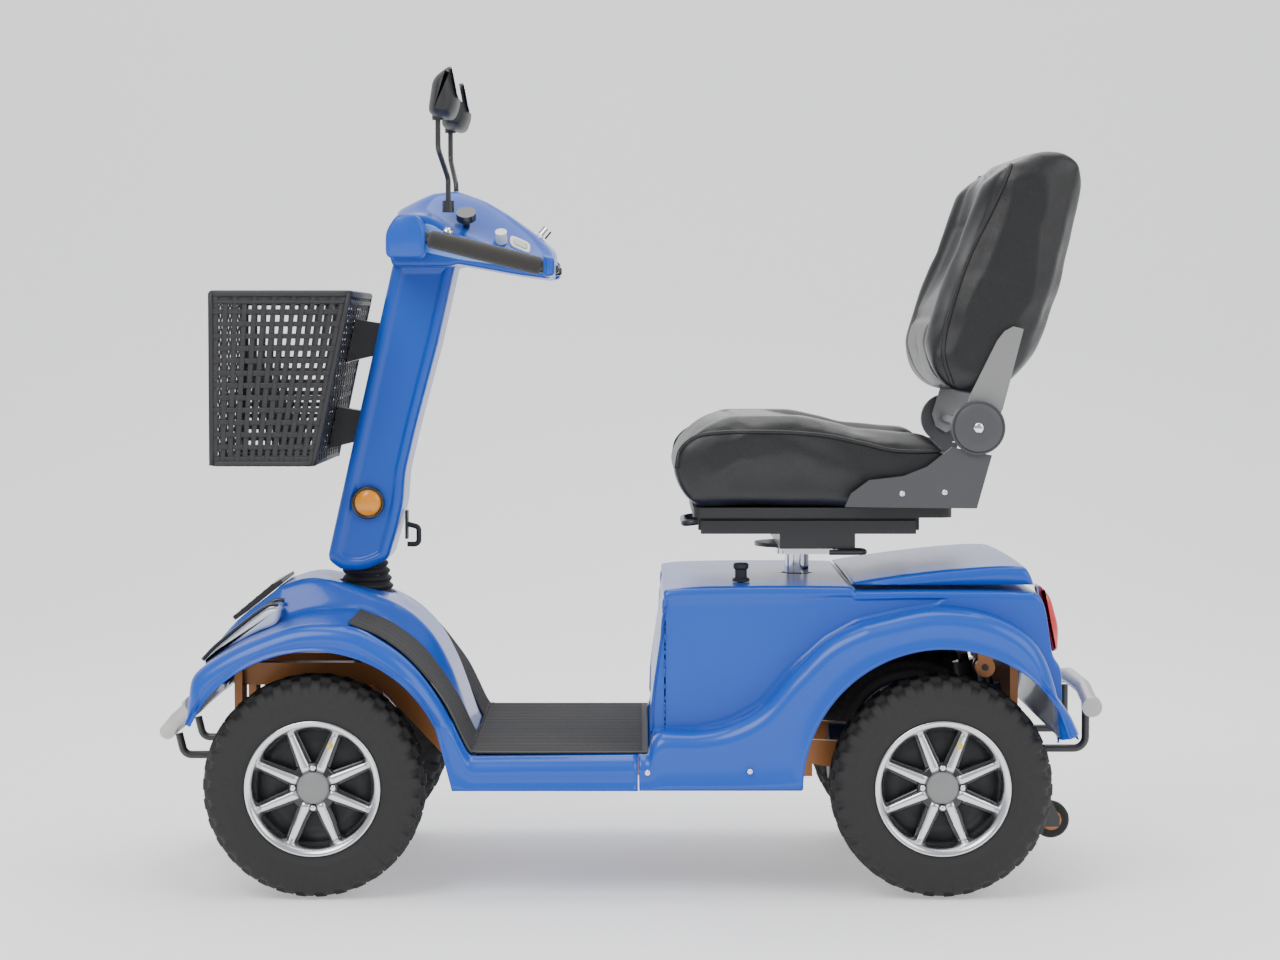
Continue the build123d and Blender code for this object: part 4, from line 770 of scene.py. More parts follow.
def side_crease(x, z):
    """How far a point of the seat box's side stands out: the lower panel is 3 mm proud of the one
    above the S-shaped crease, and a scoop is pressed in behind the seam."""
    line = metres(CREASE)
    step = ramp(-0.0035, 0.0035, z - np.interp(x, line[:, 0], line[:, 1]))
    scoop = ramp(0.344, 0.352, x) * (1 - ramp(0.482, 0.490, x)) * ramp(0.438, 0.446, z)
    return -0.0030 * step - 0.0050 * scoop * step


def seat_box_grid(half, roll=0.010):
    """The box under the seat: closed outline carried between two creased sides.  A side runs from
    the outline to the middle in rings, and its points move by the crease's height."""
    top = respaced(curve(metres(SEAT_BOX_TOP), 260), 200)
    columns = [at_y(top, y) for y in np.linspace(0, half - roll, 18)]
    down = np.stack([np.linspace(top[0, 0], top[-1, 0], 200), np.full(200, 0.200)], 1) - top
    down[:, 0] *= 0.25
    down = unit(down)
    for angle in np.linspace(0, math.pi / 2, 6)[1:]:
        last = top + down * roll * (1 - math.cos(angle))
        columns.append(at_y(last, half - roll + roll * math.sin(angle)))
    target_x = np.clip(last[:, 0], 0.030, 0.640)
    over_wheel = np.sqrt(np.maximum((ARCH + 0.020) ** 2 - (target_x - REAR_AXLE.x) ** 2, 0))
    target = np.stack([target_x, np.maximum(0.205, REAR_AXLE.z + over_wheel)], 1)
    for share in np.linspace(0, 1, 70)[1:]:
        line = last * (1 - share) + target * share
        columns.append(at_y(line, half + side_crease(line[:, 0], line[:, 1]) * ramp(0.0, 0.06, share)))
    return mirrored(columns)


def rear_wing_grid(side, inner, stations=210):
    """A rear wing with its skirt: the top outline carried out from the seat box, rolled over,
    dropped to the skirt's foot or the arch, and returned inwards."""
    radius = ARCH + 0.003
    wing = respaced(curve(metres(WING_TOP_REAR), 400), stations)
    run = np.clip((wing[:, 0] - SEAM_X) / (SKIRT_END - SEAM_X), 0, 1)
    foot_x = SEAM_X + 0.0008 + (REAR_AXLE.x - radius - 0.003 - SEAM_X) * run
    foot = np.stack([foot_x, np.full(stations, SKIRT_Z + 0.0005)], 1)
    edge = np.where((wing[:, 0] < SKIRT_END)[:, None], foot, arch_point(wing, REAR_AXLE, radius))
    # the first stations past the skirt slide back along the arch to its foot
    first = np.argmax(wing[:, 0] >= SKIRT_END)
    last = edge[first + 21]
    turn = np.linspace(math.pi, math.atan2(last[1] - REAR_AXLE.z, last[0] - REAR_AXLE.x), 22)
    edge[first:first + 22] = np.stack([REAR_AXLE.x + radius * np.cos(turn), REAR_AXLE.z + radius * np.sin(turn)], 1)
    inward = np.where((np.arange(stations) < first)[:, None], edge + np.array([[0.0, 0.003]]),
                      arch_point(edge, REAR_AXLE, radius + 0.006))
    grid = np.stack(wing_columns(inner, 12, lambda y: wing, lambda y: 0.0, edge, inward), 1)
    grid[..., 1] *= side
    return grid


class SCOOTER_OT_rear_body(bpy.types.Operator):
    """Build the seat box, the rear wings and their wells"""
    bl_idname = "scooter.rear_body"
    bl_label = "Rear body"

    def execute(self, context):
        box = grid_object("rear_box", seat_box_grid(BOX_HALF), "body")
        open_round(box, POST_X, 0.0, 0.0265, 0.060, 0.40)
        pieces = [walled(box, 0.003)]
        for side in SIDES.values():
            wing = grid_object("rear_wing", rear_wing_grid(side, BOX_HALF - 0.014), "body")
            pieces += [walled(wing, 0.003), well(REAR_AXLE, 0.212, 0.200, 20, 166, side)]
        mounted("rear_shell_look", pieces, "chassis", "blue_shell", "rear_body_shell")
        return {"FINISHED"}


class SCOOTER_OT_deck_cover(bpy.types.Operator):
    """Build the lift-off cover behind the seat"""
    bl_idname = "scooter.deck_cover"
    bl_label = "Deck cover"

    def execute(self, context):
        low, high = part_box("rear_deck_cover")
        top = placed(DECK_TOP, REAR_AXLE)
        top[:, 0] = np.clip(top[:, 0], low.x + 0.0005, high.x - 0.0005)
        top = respaced(curve(top, 200), 120)
        bottom = np.stack([top[:, 0], np.full(120, low.z + 0.0006)], 1)
        half = high.y - 0.0005
        columns = []
        for y, drop in wing_across(0.0, half, 0.012, 24, 7):
            z = np.maximum(top[:, 1] - drop - 0.003 * (y / half) ** 2, bottom[:, 1])
            columns.append(at_y(np.stack([top[:, 0], z], 1), y))
        columns += [at_y(bottom, half), at_y(bottom, 0.0)]
        cover = grid_object("cover", mirrored(columns), "body")
        mounted("deck_cover_look", [cover], "deck_cover", "blue_shell", "rear_deck_cover")
        return {"FINISHED"}


# ------------------------------------------------------------------ outline pieces
# closed side outlines as (X, Z) in millimetres
TILLER_COVER = [(-459, 484), (-354, 948), (-257, 948), (-287, 816), (-321, 689), (-338, 617), (-341, 572), (-350, 532),
                (-364, 485), (-380, 476), (-404, 467), (-437, 467)]
HEAD_MIDDLE = [(-362, 955), (-350, 1022), (-317, 1039), (-294, 1049), (-257, 1052), (-215, 1037), (-180, 1017),
               (-140, 989), (-108, 962), (-105, 948), (-114, 917), (-160, 925), (-254, 946), (-262, 932), (-356, 932)]
HEAD_EDGE = [(-358, 955), (-346, 1004), (-317, 1014), (-294, 1010), (-257, 986), (-215, 968), (-180, 955),
             (-140, 943), (-109, 936), (-106, 928), (-114, 915), (-160, 921), (-254, 938), (-262, 934), (-352, 934)]
GRIP_BLOCK = [(-357, 945), (-357, 985), (-340, 1011), (-310, 1011), (-297, 990), (-297, 945)]
GRIP_BRIDGE = [(-121, 917), (-121, 950), (-104, 946), (-104, 919)]
FLANK = [(-330, 962), (-318, 1000), (-292, 998), (-256, 974), (-205, 957), (-160, 944), (-160, 932), (-250, 944)]
HEADLIGHT = [(-631, 333), (-603, 357), (-550, 385), (-523, 394), (-519, 422), (-541, 419), (-607, 367), (-634, 340)]
TAIL_LIGHT = [(638.5, 358), (646.5, 362), (647.5, 396), (635.5, 440), (621.5, 457), (619.5, 454), (622.5, 441)]
MIRROR = [(-294, 1160), (-256, 1152), (-246, 1180), (-256, 1236), (-286, 1214)]
HEAD_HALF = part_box("tiller_head")[1].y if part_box("tiller_head")[1].y < 0.13 else 0.120


def closed_line(points, count, rounding=0.35):
    """A closed outline with count points: each side is kept straight but its corners are cut by a
    quadratic that starts a share of the side before the corner."""
    p = np.asarray(points, float)
    before, after = np.roll(p, 1, 0) - p, np.roll(p, -1, 0) - p
    reach = np.minimum(np.linalg.norm(before, axis=1), np.linalg.norm(after, axis=1))[:, None] * rounding
    reach = np.minimum(reach, 0.012)
    first, last = (p + unit(way) * reach for way in (before, after))
    t = np.linspace(0, 1, 6)[None, :, None]
    bend = (1 - t) ** 2 * first[:, None] + 2 * t * (1 - t) * p[:, None] + t ** 2 * last[:, None]
    line = bend.reshape(-1, p.shape[1])
    return respaced(np.vstack([line, line[:1]]), count + 1)[:-1]


def inset_line(line, amount):
    """A closed outline moved inwards by the amount along its normals."""
    ahead = np.roll(line, -2, 0) - np.roll(line, 2, 0)
    normal = unit(np.stack([-ahead[:, 1], ahead[:, 0]], 1))
    area = 0.5 * np.sum(line[:, 0] * np.roll(line[:, 1], -1) - np.roll(line[:, 0], -1) * line[:, 1])
    return line + normal * amount * (1 if area > 0 else -1)


def side_fill(line, spine, y_of, steps):
    """Rings from a closed outline in to a spine: each point heads for its nearest spine point, and
    the height across is given for each share of the way."""
    a, b = np.asarray(spine, float)
    along = np.clip(((line - a) @ (b - a)) / ((b - a) @ (b - a)), 0, 1)
    goal = a + along[:, None] * (b - a)
    rings = []
    for share in np.linspace(0, 1, steps)[1:]:
        ring = line * (1 - share) + goal * share
        rings.append(at_y(ring, y_of(share, ring)))
    return rings


def rolled(line, half, radius, steps):
    """An outline's edge rolled over by a quarter circle: pairs of an inset ring and its Y."""
    return [(inset_line(line, radius * (1 - math.cos(a))), half - radius + radius * math.sin(a))
            for a in np.linspace(0, math.pi / 2, steps)]


def both_ends(name, end, between, finish_name):
    """A closed piece from the rings of one end, outwards, and those between the two ends."""
    other = [ring * (1, -1, 1) for ring in end[::-1]]
    return grid_object(name, np.stack(other + between + end, 0), finish_name, close_columns=True)


def block(name, line, steps, side, finish_name):
    """A closed outline carried across in steps of (Y, inset) and capped."""
    rows = [at_y(inset_line(line, inset), side * y) for y, inset in steps]
    return grid_object(name, np.stack(rows, 0), finish_name, close_columns=True, caps=True)


def head_line(points, count=150):
    """Points spread over each side in proportion to the middle outline's side, so the two
    outlines' corners stay paired; then each is twice averaged with its neighbours."""
    p, guide = (np.vstack([metres(line), metres(line)[:1]]) for line in (points, HEAD_MIDDLE))
    run = distance_along(guide)
    at = np.linspace(0, run[-1], count, endpoint=False)
    line = np.stack([np.interp(at, run, p[:, k]) for k in range(2)], 1)
    for _ in range(2):
        line = 0.25 * np.roll(line, 1, 0) + 0.5 * line + 0.25 * np.roll(line, -1, 0)
    return line


def head_share(y):
    """How far the control head's cut at Y has changed from the middle outline to the edge's."""
    return ramp(0.026, 0.112, abs(y))


def flank_height(x, y):
    """Height of the control head's top at (x, y): the middle outline blended into the edge's."""
    middle_z, edge_z = (np.interp(x, *metres(line[1:9]).T) for line in (HEAD_MIDDLE, HEAD_EDGE))
    return middle_z * (1 - head_share(y)) + edge_z * head_share(y)


def on_flank(ring, centre, up):
    """A flat ring laid on the head's flank: its plane touches the surface at centre, its axes are
    the surface's slopes there, and it is raised by up."""
    x, y = centre
    step = 0.006
    u = unit(np.array([2 * step, 0, flank_height(x + step, y) - flank_height(x - step, y)]))
    v = unit(np.array([0, 2 * step, flank_height(x, y + step) - flank_height(x, y - step)]))
    base = np.array([x, y, flank_height(x, y)])
    return base + ring[:, :1] * u + ring[:, 1:] * v + up * np.cross(u, v)


class SCOOTER_OT_tiller(bpy.types.Operator):
    """Build the tiller cover, the control head, its trim and the handle grips"""
    bl_idname = "scooter.tiller"
    bl_label = "Tiller"

    def execute(self, context):
        mounted("tiller_cover_look", [self.cover()], "tiller", "blue_shell", "tiller_cover")
        mounted("tiller_head_look", self.head(), "tiller", "blue_shell", "tiller_head")
        mounted("head_trim", self.trim(), "tiller", "blue_shell")
        mounted("display", self.display(), "tiller", "white_plastic")
        mounted("grips_look", self.grips(), "tiller", "grip_foam", "handle_grips")
        return {"FINISHED"}

    def cover(self, half=0.070, roll=0.011):
        """A slab with rolled edges; its side is a panel sunk 4 mm behind a raised rim."""
        line = closed_line(metres(TILLER_COVER), 160)
        edge = rolled(line, half, roll, 7)

        def recess(share, ring):
            front = (ring[:, 0] + 0.459) - (ring[:, 1] - 0.484) * (0.101 / 0.446)
            return half - 0.0045 * ramp(0.010, 0.016, front) * ramp(0.10, 0.22, share)

        end = [at_y(ring, y) for ring, y in edge]
        end += side_fill(edge[-1][0], ((-0.398, 0.515), (-0.312, 0.890)), recess, 14)
        between = [at_y(line, y) for y in np.linspace(-half + roll, half - roll, 8)[1:-1]]
        return both_ends("cover", end, between, "body")

    def head(self, roll=0.006):
        """Side outlines blended across: the middle outline holds to 26 mm and falls to the edge
        outline by a smooth step, and the ends are rolled and filled.  Blocks at the front and rear
        carry the grip bars."""
        middle_line, edge_line = head_line(HEAD_MIDDLE), head_line(HEAD_EDGE)
        rows = [at_y(middle_line * (1 - head_share(y)) + edge_line * head_share(y), y)
                for y in np.linspace(-HEAD_HALF + roll, HEAD_HALF - roll, 61)]
        edge = rolled(edge_line, HEAD_HALF, roll, 5)[1:]
        end = [at_y(ring, y) for ring, y in edge]
        end += side_fill(edge[-1][0], ((-0.335, 0.972), (-0.125, 0.932)), lambda share, ring: HEAD_HALF, 9)
        pieces = [both_ends("head", end, rows, "body")]
        steps = ((0.118, 0.004), (0.119, 0.001), (0.122, 0), (0.181, 0), (0.185, 0.0015), (0.187, 0.005))
        for side in SIDES.values():
            for points in (GRIP_BLOCK, GRIP_BRIDGE):
                pieces.append(block("grip_block", closed_line(metres(points), 60), steps, side, "body"))
        return pieces

    def trim(self):
        """The pale flanks, the mirror clamps' bolts and the grip bars' end caps."""
        bolt = [(0, 0.007), (0.004, 0.007), (0.007, 0.0045), (0.0085, 0.001), (0.0085, -0.002), (0, -0.002)]
        cap = [(0, 0.006), (0.005, 0.006), (0.007, 0.003), (0.007, -0.003), (0, -0.003)]
        pieces = []
        for side in SIDES.values():
            line = closed_line(metres(FLANK), 80)
            face = inset_line(line, 0.002)
            rows = [at_y(ring, side * y) for ring, y in ((line, 0.1185), (line, 0.1204), (face, 0.1212))]
            rows += side_fill(face, ((-0.31, 0.978), (-0.18, 0.942)), lambda share, ring: side * 0.1212, 5)
            pieces += [grid_object("flank", np.stack(rows, 0), "body pale", close_columns=True),
                       lathe("bolt", bolt, (-0.268, side * 0.1195, 0.985), (0, side, 0), "chrome", 20),
                       lathe("end_cap", cap, (-0.106, side * 0.090, 0.9305), (1, 0, 0), "black gloss", 20)]
        return pieces

    def display(self):
        """The charge display: a screen raised on a white frame, laid on the near flank."""
        pieces = []
        for half_x, half_y, rise, hue in ((0.017, 0.0125, 0.0026, "white"), (0.012, 0.0080, 0.0034, "screen")):
            line = closed_line([(-half_x, -half_y), (half_x, -half_y), (half_x, half_y), (-half_x, half_y)], 48)
            rows = [on_flank(inset_line(line, inset), (-0.160, -0.078), up)
                    for inset, up in ((0.0, -0.004), (0.0, rise - 0.0008), (0.0008, rise), (0.004, rise))]
            pieces.append(grid_object("display", np.stack(rows, 0), hue, close_columns=True, caps=True))
        return pieces

    def grips(self):
        """Foam sleeves: the radius swells a little in the middle and has rolled ends."""
        t = np.linspace(0, 1, 48)
        radius = 0.0136 + 0.0004 * np.sin(t * math.pi)
        radius *= np.sqrt(1 - np.clip(1 - np.minimum(t, 1 - t) / 0.03, 0, 1) ** 2 * 0.5)
        start, way = np.array([-0.293, 0.170, 0.9748]), np.array([0.169, 0.0, -0.042])
        line = start + way * t[:, None]
        return [tube("grip", line * (1, side, 1), radius, "foam", 28) for side in SIDES.values()]


# ------------------------------------------------------------------ bellows and mat
class SCOOTER_OT_bellows(bpy.types.Operator):
    """Build the ribbed rubber boot at the tiller's foot"""
    bl_idname = "scooter.bellows"
    bl_label = "Bellows"

    def execute(self, context):
        """Seven folds: the radius is a cosine of the height on a slight taper, and the top leans."""
        low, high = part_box("tiller_bellows")
        centre_x = (low.x + high.x) / 2
        reach = (high.x - low.x) / 2
        top_z = 0.492
        t = np.linspace(0, 1, 106)
        folds = 0.5 - 0.5 * np.cos(t * 7 * 2 * math.pi)
        radius = reach - 0.001 - 0.007 * t - 0.0045 * (1 - folds ** 0.6)
        profile = [(reach + 0.004, low.z), (reach + 0.005, low.z + 0.004), *zip(radius, low.z + (top_z - low.z) * t),
                   (0.0305, top_z), (0.0305, low.z)]
        ring = lathe_grid(profile, (0, 0, 0), (0, 0, 1), 64)
        ring[..., 0] += centre_x - 0.006 * ramp(low.z + 0.02, top_z, ring[..., 2])
        boot = grid_object("bellows_look", ring, "rubber", close_rows=True, close_columns=True)
        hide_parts("tiller_bellows")
        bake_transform(boot)
        return {"FINISHED"}


class SCOOTER_OT_mat(bpy.types.Operator):
    """Build the ribbed rubber floor mat with its turned-up front"""
    bl_idname = "scooter.mat"
    bl_label = "Floor mat"

    def execute(self, context):
        """A strip carried across along the floor and up the wing's back.  Its thickness follows a
        clipped cosine of Y for the ribs, is plain at the border, and sinks with the wing's crown."""
        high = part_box("floor_mat")[1]
        wing = [tuple(p) for p in placed(WING_TOP_FRONT, FRONT_AXLE) if p[0] > FRONT_AXLE.x - 0.010]
        foot = [(high.x - 0.001, FLOOR_Z), (-0.20, FLOOR_Z), (-0.219, FLOOR_Z + 0.001), *wing[-2::-1]]
        line = respaced(curve(foot, 300), 420)
        line = line[line[:, 0] > FRONT_AXLE.x + 0.050]
        ahead = unit(np.gradient(line, axis=0))
        normal = np.stack([ahead[:, 1], -ahead[:, 0]], 1)
        inner = np.where(line[:, 1] > FLOOR_Z + 0.004, 0.101, 0.0)
        wide = high.y - 0.001
        rib = context.scene.scooter_sizes.mat_rib
        end = ramp(0.008, 0.011, distance_along(line))
        climb = 0.0035 * ramp(0.06, 0.14, line[:, 1] - FLOOR_Z)
        columns = []
        for share in np.linspace(0, 1, 150):
            y = inner + (wide - inner) * share
            ribs = np.clip((0.15 + 0.5 * np.cos(2 * math.pi * y / 0.0125)) * 2.2, 0, 1)
            up = 0.0042 - rib + rib * ribs * ramp(0.010, 0.013, wide - y) * end
            up = np.maximum(up, 0.0024) - climb * ramp(0.12, 0.30, y)
            columns.append(at_y(line + normal * up[:, None], y))
        under = line + normal * 0.0004
        grid = np.stack(columns + [at_y(under, wide), at_y(under, inner)], 1)
        pieces = [grid_object("mat", grid * (1, side, 1), "mat", close_columns=True, caps=True)
                  for side in SIDES.values()]
        mounted("floor_mat_look", pieces, "chassis", "mat_rubber", "floor_mat")
        return {"FINISHED"}


# ------------------------------------------------------------------ basket
BASKET_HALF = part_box("basket")[1].y - 0.002
BASKET_LOW, BASKET_HIGH = 0.634, 0.893
BASKET_FRONT = (-0.620, -0.620)         # X of the front wall at its foot and at its rim
BASKET_BACK = (-0.4675, -0.4125)
STRIP_HALF_THICK = 0.0009
STRIP_WAVE = 0.0011


def woven(sides, ups, normal):
    """A wall woven both ways between its four corners.  Each strip runs straight from one edge to
    the other and waves in and out along the normal as a cosine of its crossings."""
    (a, b), (c, d) = ups
    across, up = sides
    normal = np.asarray(normal, float)
    for start, end, count, crossings, phase in (((a, b), (c, d), across, up, 0), ((a, c), (b, d), up, across, 1)):
        start, end = np.asarray(start, float), np.asarray(end, float)
        t = np.linspace(0, 1, 2 * crossings + 1)[:, None]
        for k in range(count):
            share = (k + 0.5) / count
            first = start[0] + (start[1] - start[0]) * share
            last = end[0] + (end[1] - end[0]) * share
            wave = STRIP_WAVE * np.cos(np.pi * (t * crossings + 0.5 + k + phase))
            yield first + (last - first) * t + wave * normal, normal


def strip_mesh(strips, wide, thick):
    """Every strip as a flat six-cornered section carried along its line, in one mesh."""
    verts, faces, base = [], [], 0
    for line, normal in strips:
        ahead = unit(np.gradient(line, axis=0))
        side = unit(np.cross(ahead, normal))
        up = np.cross(side, ahead)
        verts.append(np.concatenate([line + side * wide * a + up * thick * b for a, b in (
            (1, 0.2), (0.7, 1), (-0.7, 1), (-1, 0.2), (-0.7, -1), (0.7, -1))], 1).reshape(-1, 3))
        faces += (grid_faces(len(line), 6, close_columns=True) + base).tolist()
        last = base + (len(line) - 1) * 6
        faces += [list(range(base, base + 6))[::-1], list(range(last, last + 6))]
        base = last + 6
    return make_object("woven", np.vstack(verts), faces, paint("basket"), smooth=False)


class SCOOTER_OT_basket(bpy.types.Operator):
    """Weave the front basket from flat strips"""
    bl_idname = "scooter.basket"
    bl_label = "Basket"

    def execute(self, context):
        half, low, high = BASKET_HALF, BASKET_LOW, BASKET_HIGH
        strips = []
        for (x0, x1), normal in ((BASKET_FRONT, (-1, 0, 0)), (BASKET_BACK, (1, 0, -0.2))):
            strips += woven((20, 14), (((x0, -half, low), (x0, half, low)), ((x1, -half, high), (x1, half, high))),
                            normal)
        (f0, f1), (b0, b1) = BASKET_FRONT, BASKET_BACK
        for side in SIDES.values():
            y = side * half
            strips += woven((14, 14), (((f0, y, low), (b0, y, low)), ((f1, y, high), (b1, y, high))), (0, side, 0))
        strips += woven((20, 10), (((f0, -half, low), (f0, half, low)), ((b0, -half, low), (b0, half, low))),
                        (0, 0, 1))
        pieces = [strip_mesh(strips, context.scene.scooter_sizes.strip_width / 2, STRIP_HALF_THICK)]
        for front, back, z, radius, sides in ((f1, b1, high - 0.001, 0.0052, 12), (f1, b1, high - 0.013, 0.0032, 8),
                                              (f0, b0, low + 0.003, 0.0044, 8)):
            loop = closed_line([(front, -half), (front, half), (back, half), (back, -half)], 160)
            loop = np.stack([loop[:, 0], loop[:, 1], np.full(160, z)], 1)
            pieces.append(tube("hoop", loop, radius, "basket", sides, closed=True))
        for x0, x1 in (BASKET_FRONT, BASKET_BACK):
            for y in (half, -half):
                line = respaced([(x0, y, low), (x1, y, high)], 12)
                pieces.append(tube("corner", line, 0.0040, "basket", 8))
        mounted("basket_look", pieces, "basket_body", "basket_weave", "basket")
        return {"FINISHED"}


# ------------------------------------------------------------------ seat
SEAT_PIPING = [(78, 632), (85, 660), (111, 680), (155, 686), (234, 686), (303, 680), (355, 669), (407, 658), (477, 657)]
BACK_PIPING = [(576, 1085), (550, 1023), (515, 949), (489, 874), (475, 804), (489, 756)]


def vertex_array(mesh, value="co"):
    """The points of a mesh, or another value of its vertices, as rows of three."""
    values = np.empty(len(mesh.vertices) * 3)
    mesh.vertices.foreach_get(value, values)
    return values.reshape(-1, 3)


def move_vertices(mesh, points):
    mesh.vertices.foreach_set("co", points.ravel())
    mesh.update()


def smooth_mesh(piece, rounds):
    """Each point moved halfway to its neighbours' middle, in rounds."""
    soft = piece.modifiers.new("soft", "SMOOTH")
    soft.factor = 0.5
    soft.iterations = rounds
    applied(piece)


def cushion_blank(node):
    """A fresh mesh from the frame's soft solid, remeshed to even cells."""
    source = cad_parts[node]
    mesh = source.data.copy()
    mesh.transform(source.matrix_world)
    piece = bpy.data.objects.new(node, mesh)
    bpy.context.scene.collection.objects.link(piece)
    cells = piece.modifiers.new("cells", "REMESH")
    cells.mode = "VOXEL"
    cells.voxel_size = bpy.context.scene.scooter_sizes.voxel
    return applied(piece)


def swell(piece, cap, pressure=4.0, frames=20):
    """The cover filled by its foam: a cloth run under pressure, whose movement is capped."""
    start = vertex_array(piece.data)
    cloth = piece.modifiers.new("fill", "CLOTH")
    cover = cloth.settings
    cover.use_pressure = True
    cover.uniform_pressure_force = pressure
    cover.quality = 5
    cover.mass = 0.25
    cover.tension_stiffness = cover.compression_stiffness = 18
    cover.bending_stiffness = 3
    cover.effector_weights.gravity = 0
    cloth.collision_settings.use_collision = False
    cloth.point_cache.frame_start = 1
    cloth.point_cache.frame_end = frames
    for number in range(1, frames + 1):
        bpy.context.scene.frame_set(number)
    applied(piece)
    bpy.context.scene.frame_set(1)
    shift = vertex_array(piece.data) - start
    reach = np.linalg.norm(shift, axis=1)[:, None]
    move_vertices(piece.data, start + shift * np.minimum(1.0, cap / np.maximum(reach, 1e-6)))


def channel(value, centre, wide):
    """A pressed seam: 1 on its line, falling to 0 at its width as a squared cosine."""
    return np.cos(np.clip(np.abs(value - centre) / wide, 0, 1) * math.pi / 2) ** 2


def shape_seat(points, normals, low, high):
    """The top's bolsters: the middle sinks towards the rear, two channels part it from the
    bolsters and one runs across behind the front roll."""
    x, y = points[:, 0] - low.x, np.abs(points[:, 1])
    dish = 0.016 * (1 - ramp(0.115, 0.175, y)) * ramp(0.10, 0.24, x)
    seams = 0.007 * channel(y, 0.150, 0.011) * ramp(0.085, 0.12, x)
    across = 0.007 * channel(x, 0.098, 0.011) * (1 - ramp(0.150, 0.158, y))
    points[:, 2] -= ramp(0.3, 0.8, normals[:, 2]) * (dish + np.maximum(seams, across))


def shape_back(points, normals, low, high):
    """The back's bolsters: the front face is hollowed between them, with two upright channels, one
    across the lumbar roll and one below the top."""
    y, z, down = np.abs(points[:, 1]), points[:, 2] - low.z, high.z - points[:, 2]
    hollow = 0.030 * (1 - ramp(0.095, 0.165, y)) * ramp(0.10, 0.22, z) * (0.55 + 0.45 * ramp(0.02, 0.11, down))
    across = 0.007 * channel(z, 0.125, 0.012) + 0.006 * channel(down, 0.105, 0.011)
    across *= 1 - ramp(0.142, 0.150, y)
    points[:, 0] += ramp(0.25, 0.75, -normals[:, 0]) * (hollow + np.maximum(0.008 * channel(y, 0.142, 0.012), across))


def draped(line, piece, side, out):
    """A line of (X, Z) points laid on a cushion's side: each takes the side's farthest Y near it."""
    tree = BVHTree.FromObject(piece, bpy.context.evaluated_depsgraph_get())
    hits = [(x, tree.ray_cast(Vector((x, side * 0.6, z)), Vector((0, -side, 0)))[0], z) for x, z in line]
    return np.array([(x, hit.y + side * out, z) for x, hit, z in hits if hit is not None])


class SCOOTER_OT_seat(bpy.types.Operator):
    """Build the padded seat and back with their piping"""
    bl_idname = "scooter.seat"
    bl_label = "Seat"

    def execute(self, context):
        self.cushion("seat_look", "seat_cushion", "seat", 12, shape_seat, SEAT_PIPING)
        self.cushion("back_look", "back_cushion", "backrest", 14, shape_back, BACK_PIPING)
        return {"FINISHED"}

    def cushion(self, name, node, body, rounds, shape, piping, reach=0.004):
        """Swollen, smoothed, pressed into shape, kept inside its box, and given leather, side
        piping and one subdivision."""
        sizes = bpy.context.scene.scooter_sizes
        low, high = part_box(node)
        piece = cushion_blank(node)
        smooth_mesh(piece, 26)
        swell(piece, sizes.cushion_swell)
        smooth_mesh(piece, rounds)
        points = vertex_array(piece.data)
        shape(points, vertex_array(piece.data, "normal"), low, high)
        move_vertices(piece.data, points)
        smooth_mesh(piece, 4)
        points = np.clip(vertex_array(piece.data), np.array(low) - (reach, 0.002, 0.0005),
                         np.array(high) + (reach, 0.002, reach))
        move_vertices(piece.data, points)
        piece.data.materials.clear()
        piece.data.materials.append(paint("leather"))
        piece.data.polygons.foreach_set("use_smooth", [True] * len(piece.data.polygons))
        runs = [draped(respaced(curve(metres(piping), 160), 120), piece, side, 0.0006) for side in SIDES.values()]
        cords = [tube("piping", run, sizes.piping_radius, "leather", 8) for run in runs]
        fine = piece.modifiers.new("fine", "SUBSURF")
        fine.levels = fine.render_levels = 1
        mounted(name, [piece], body, "seat_cover", node)
        mounted(node + "_piping", cords, body, "seat_cover")


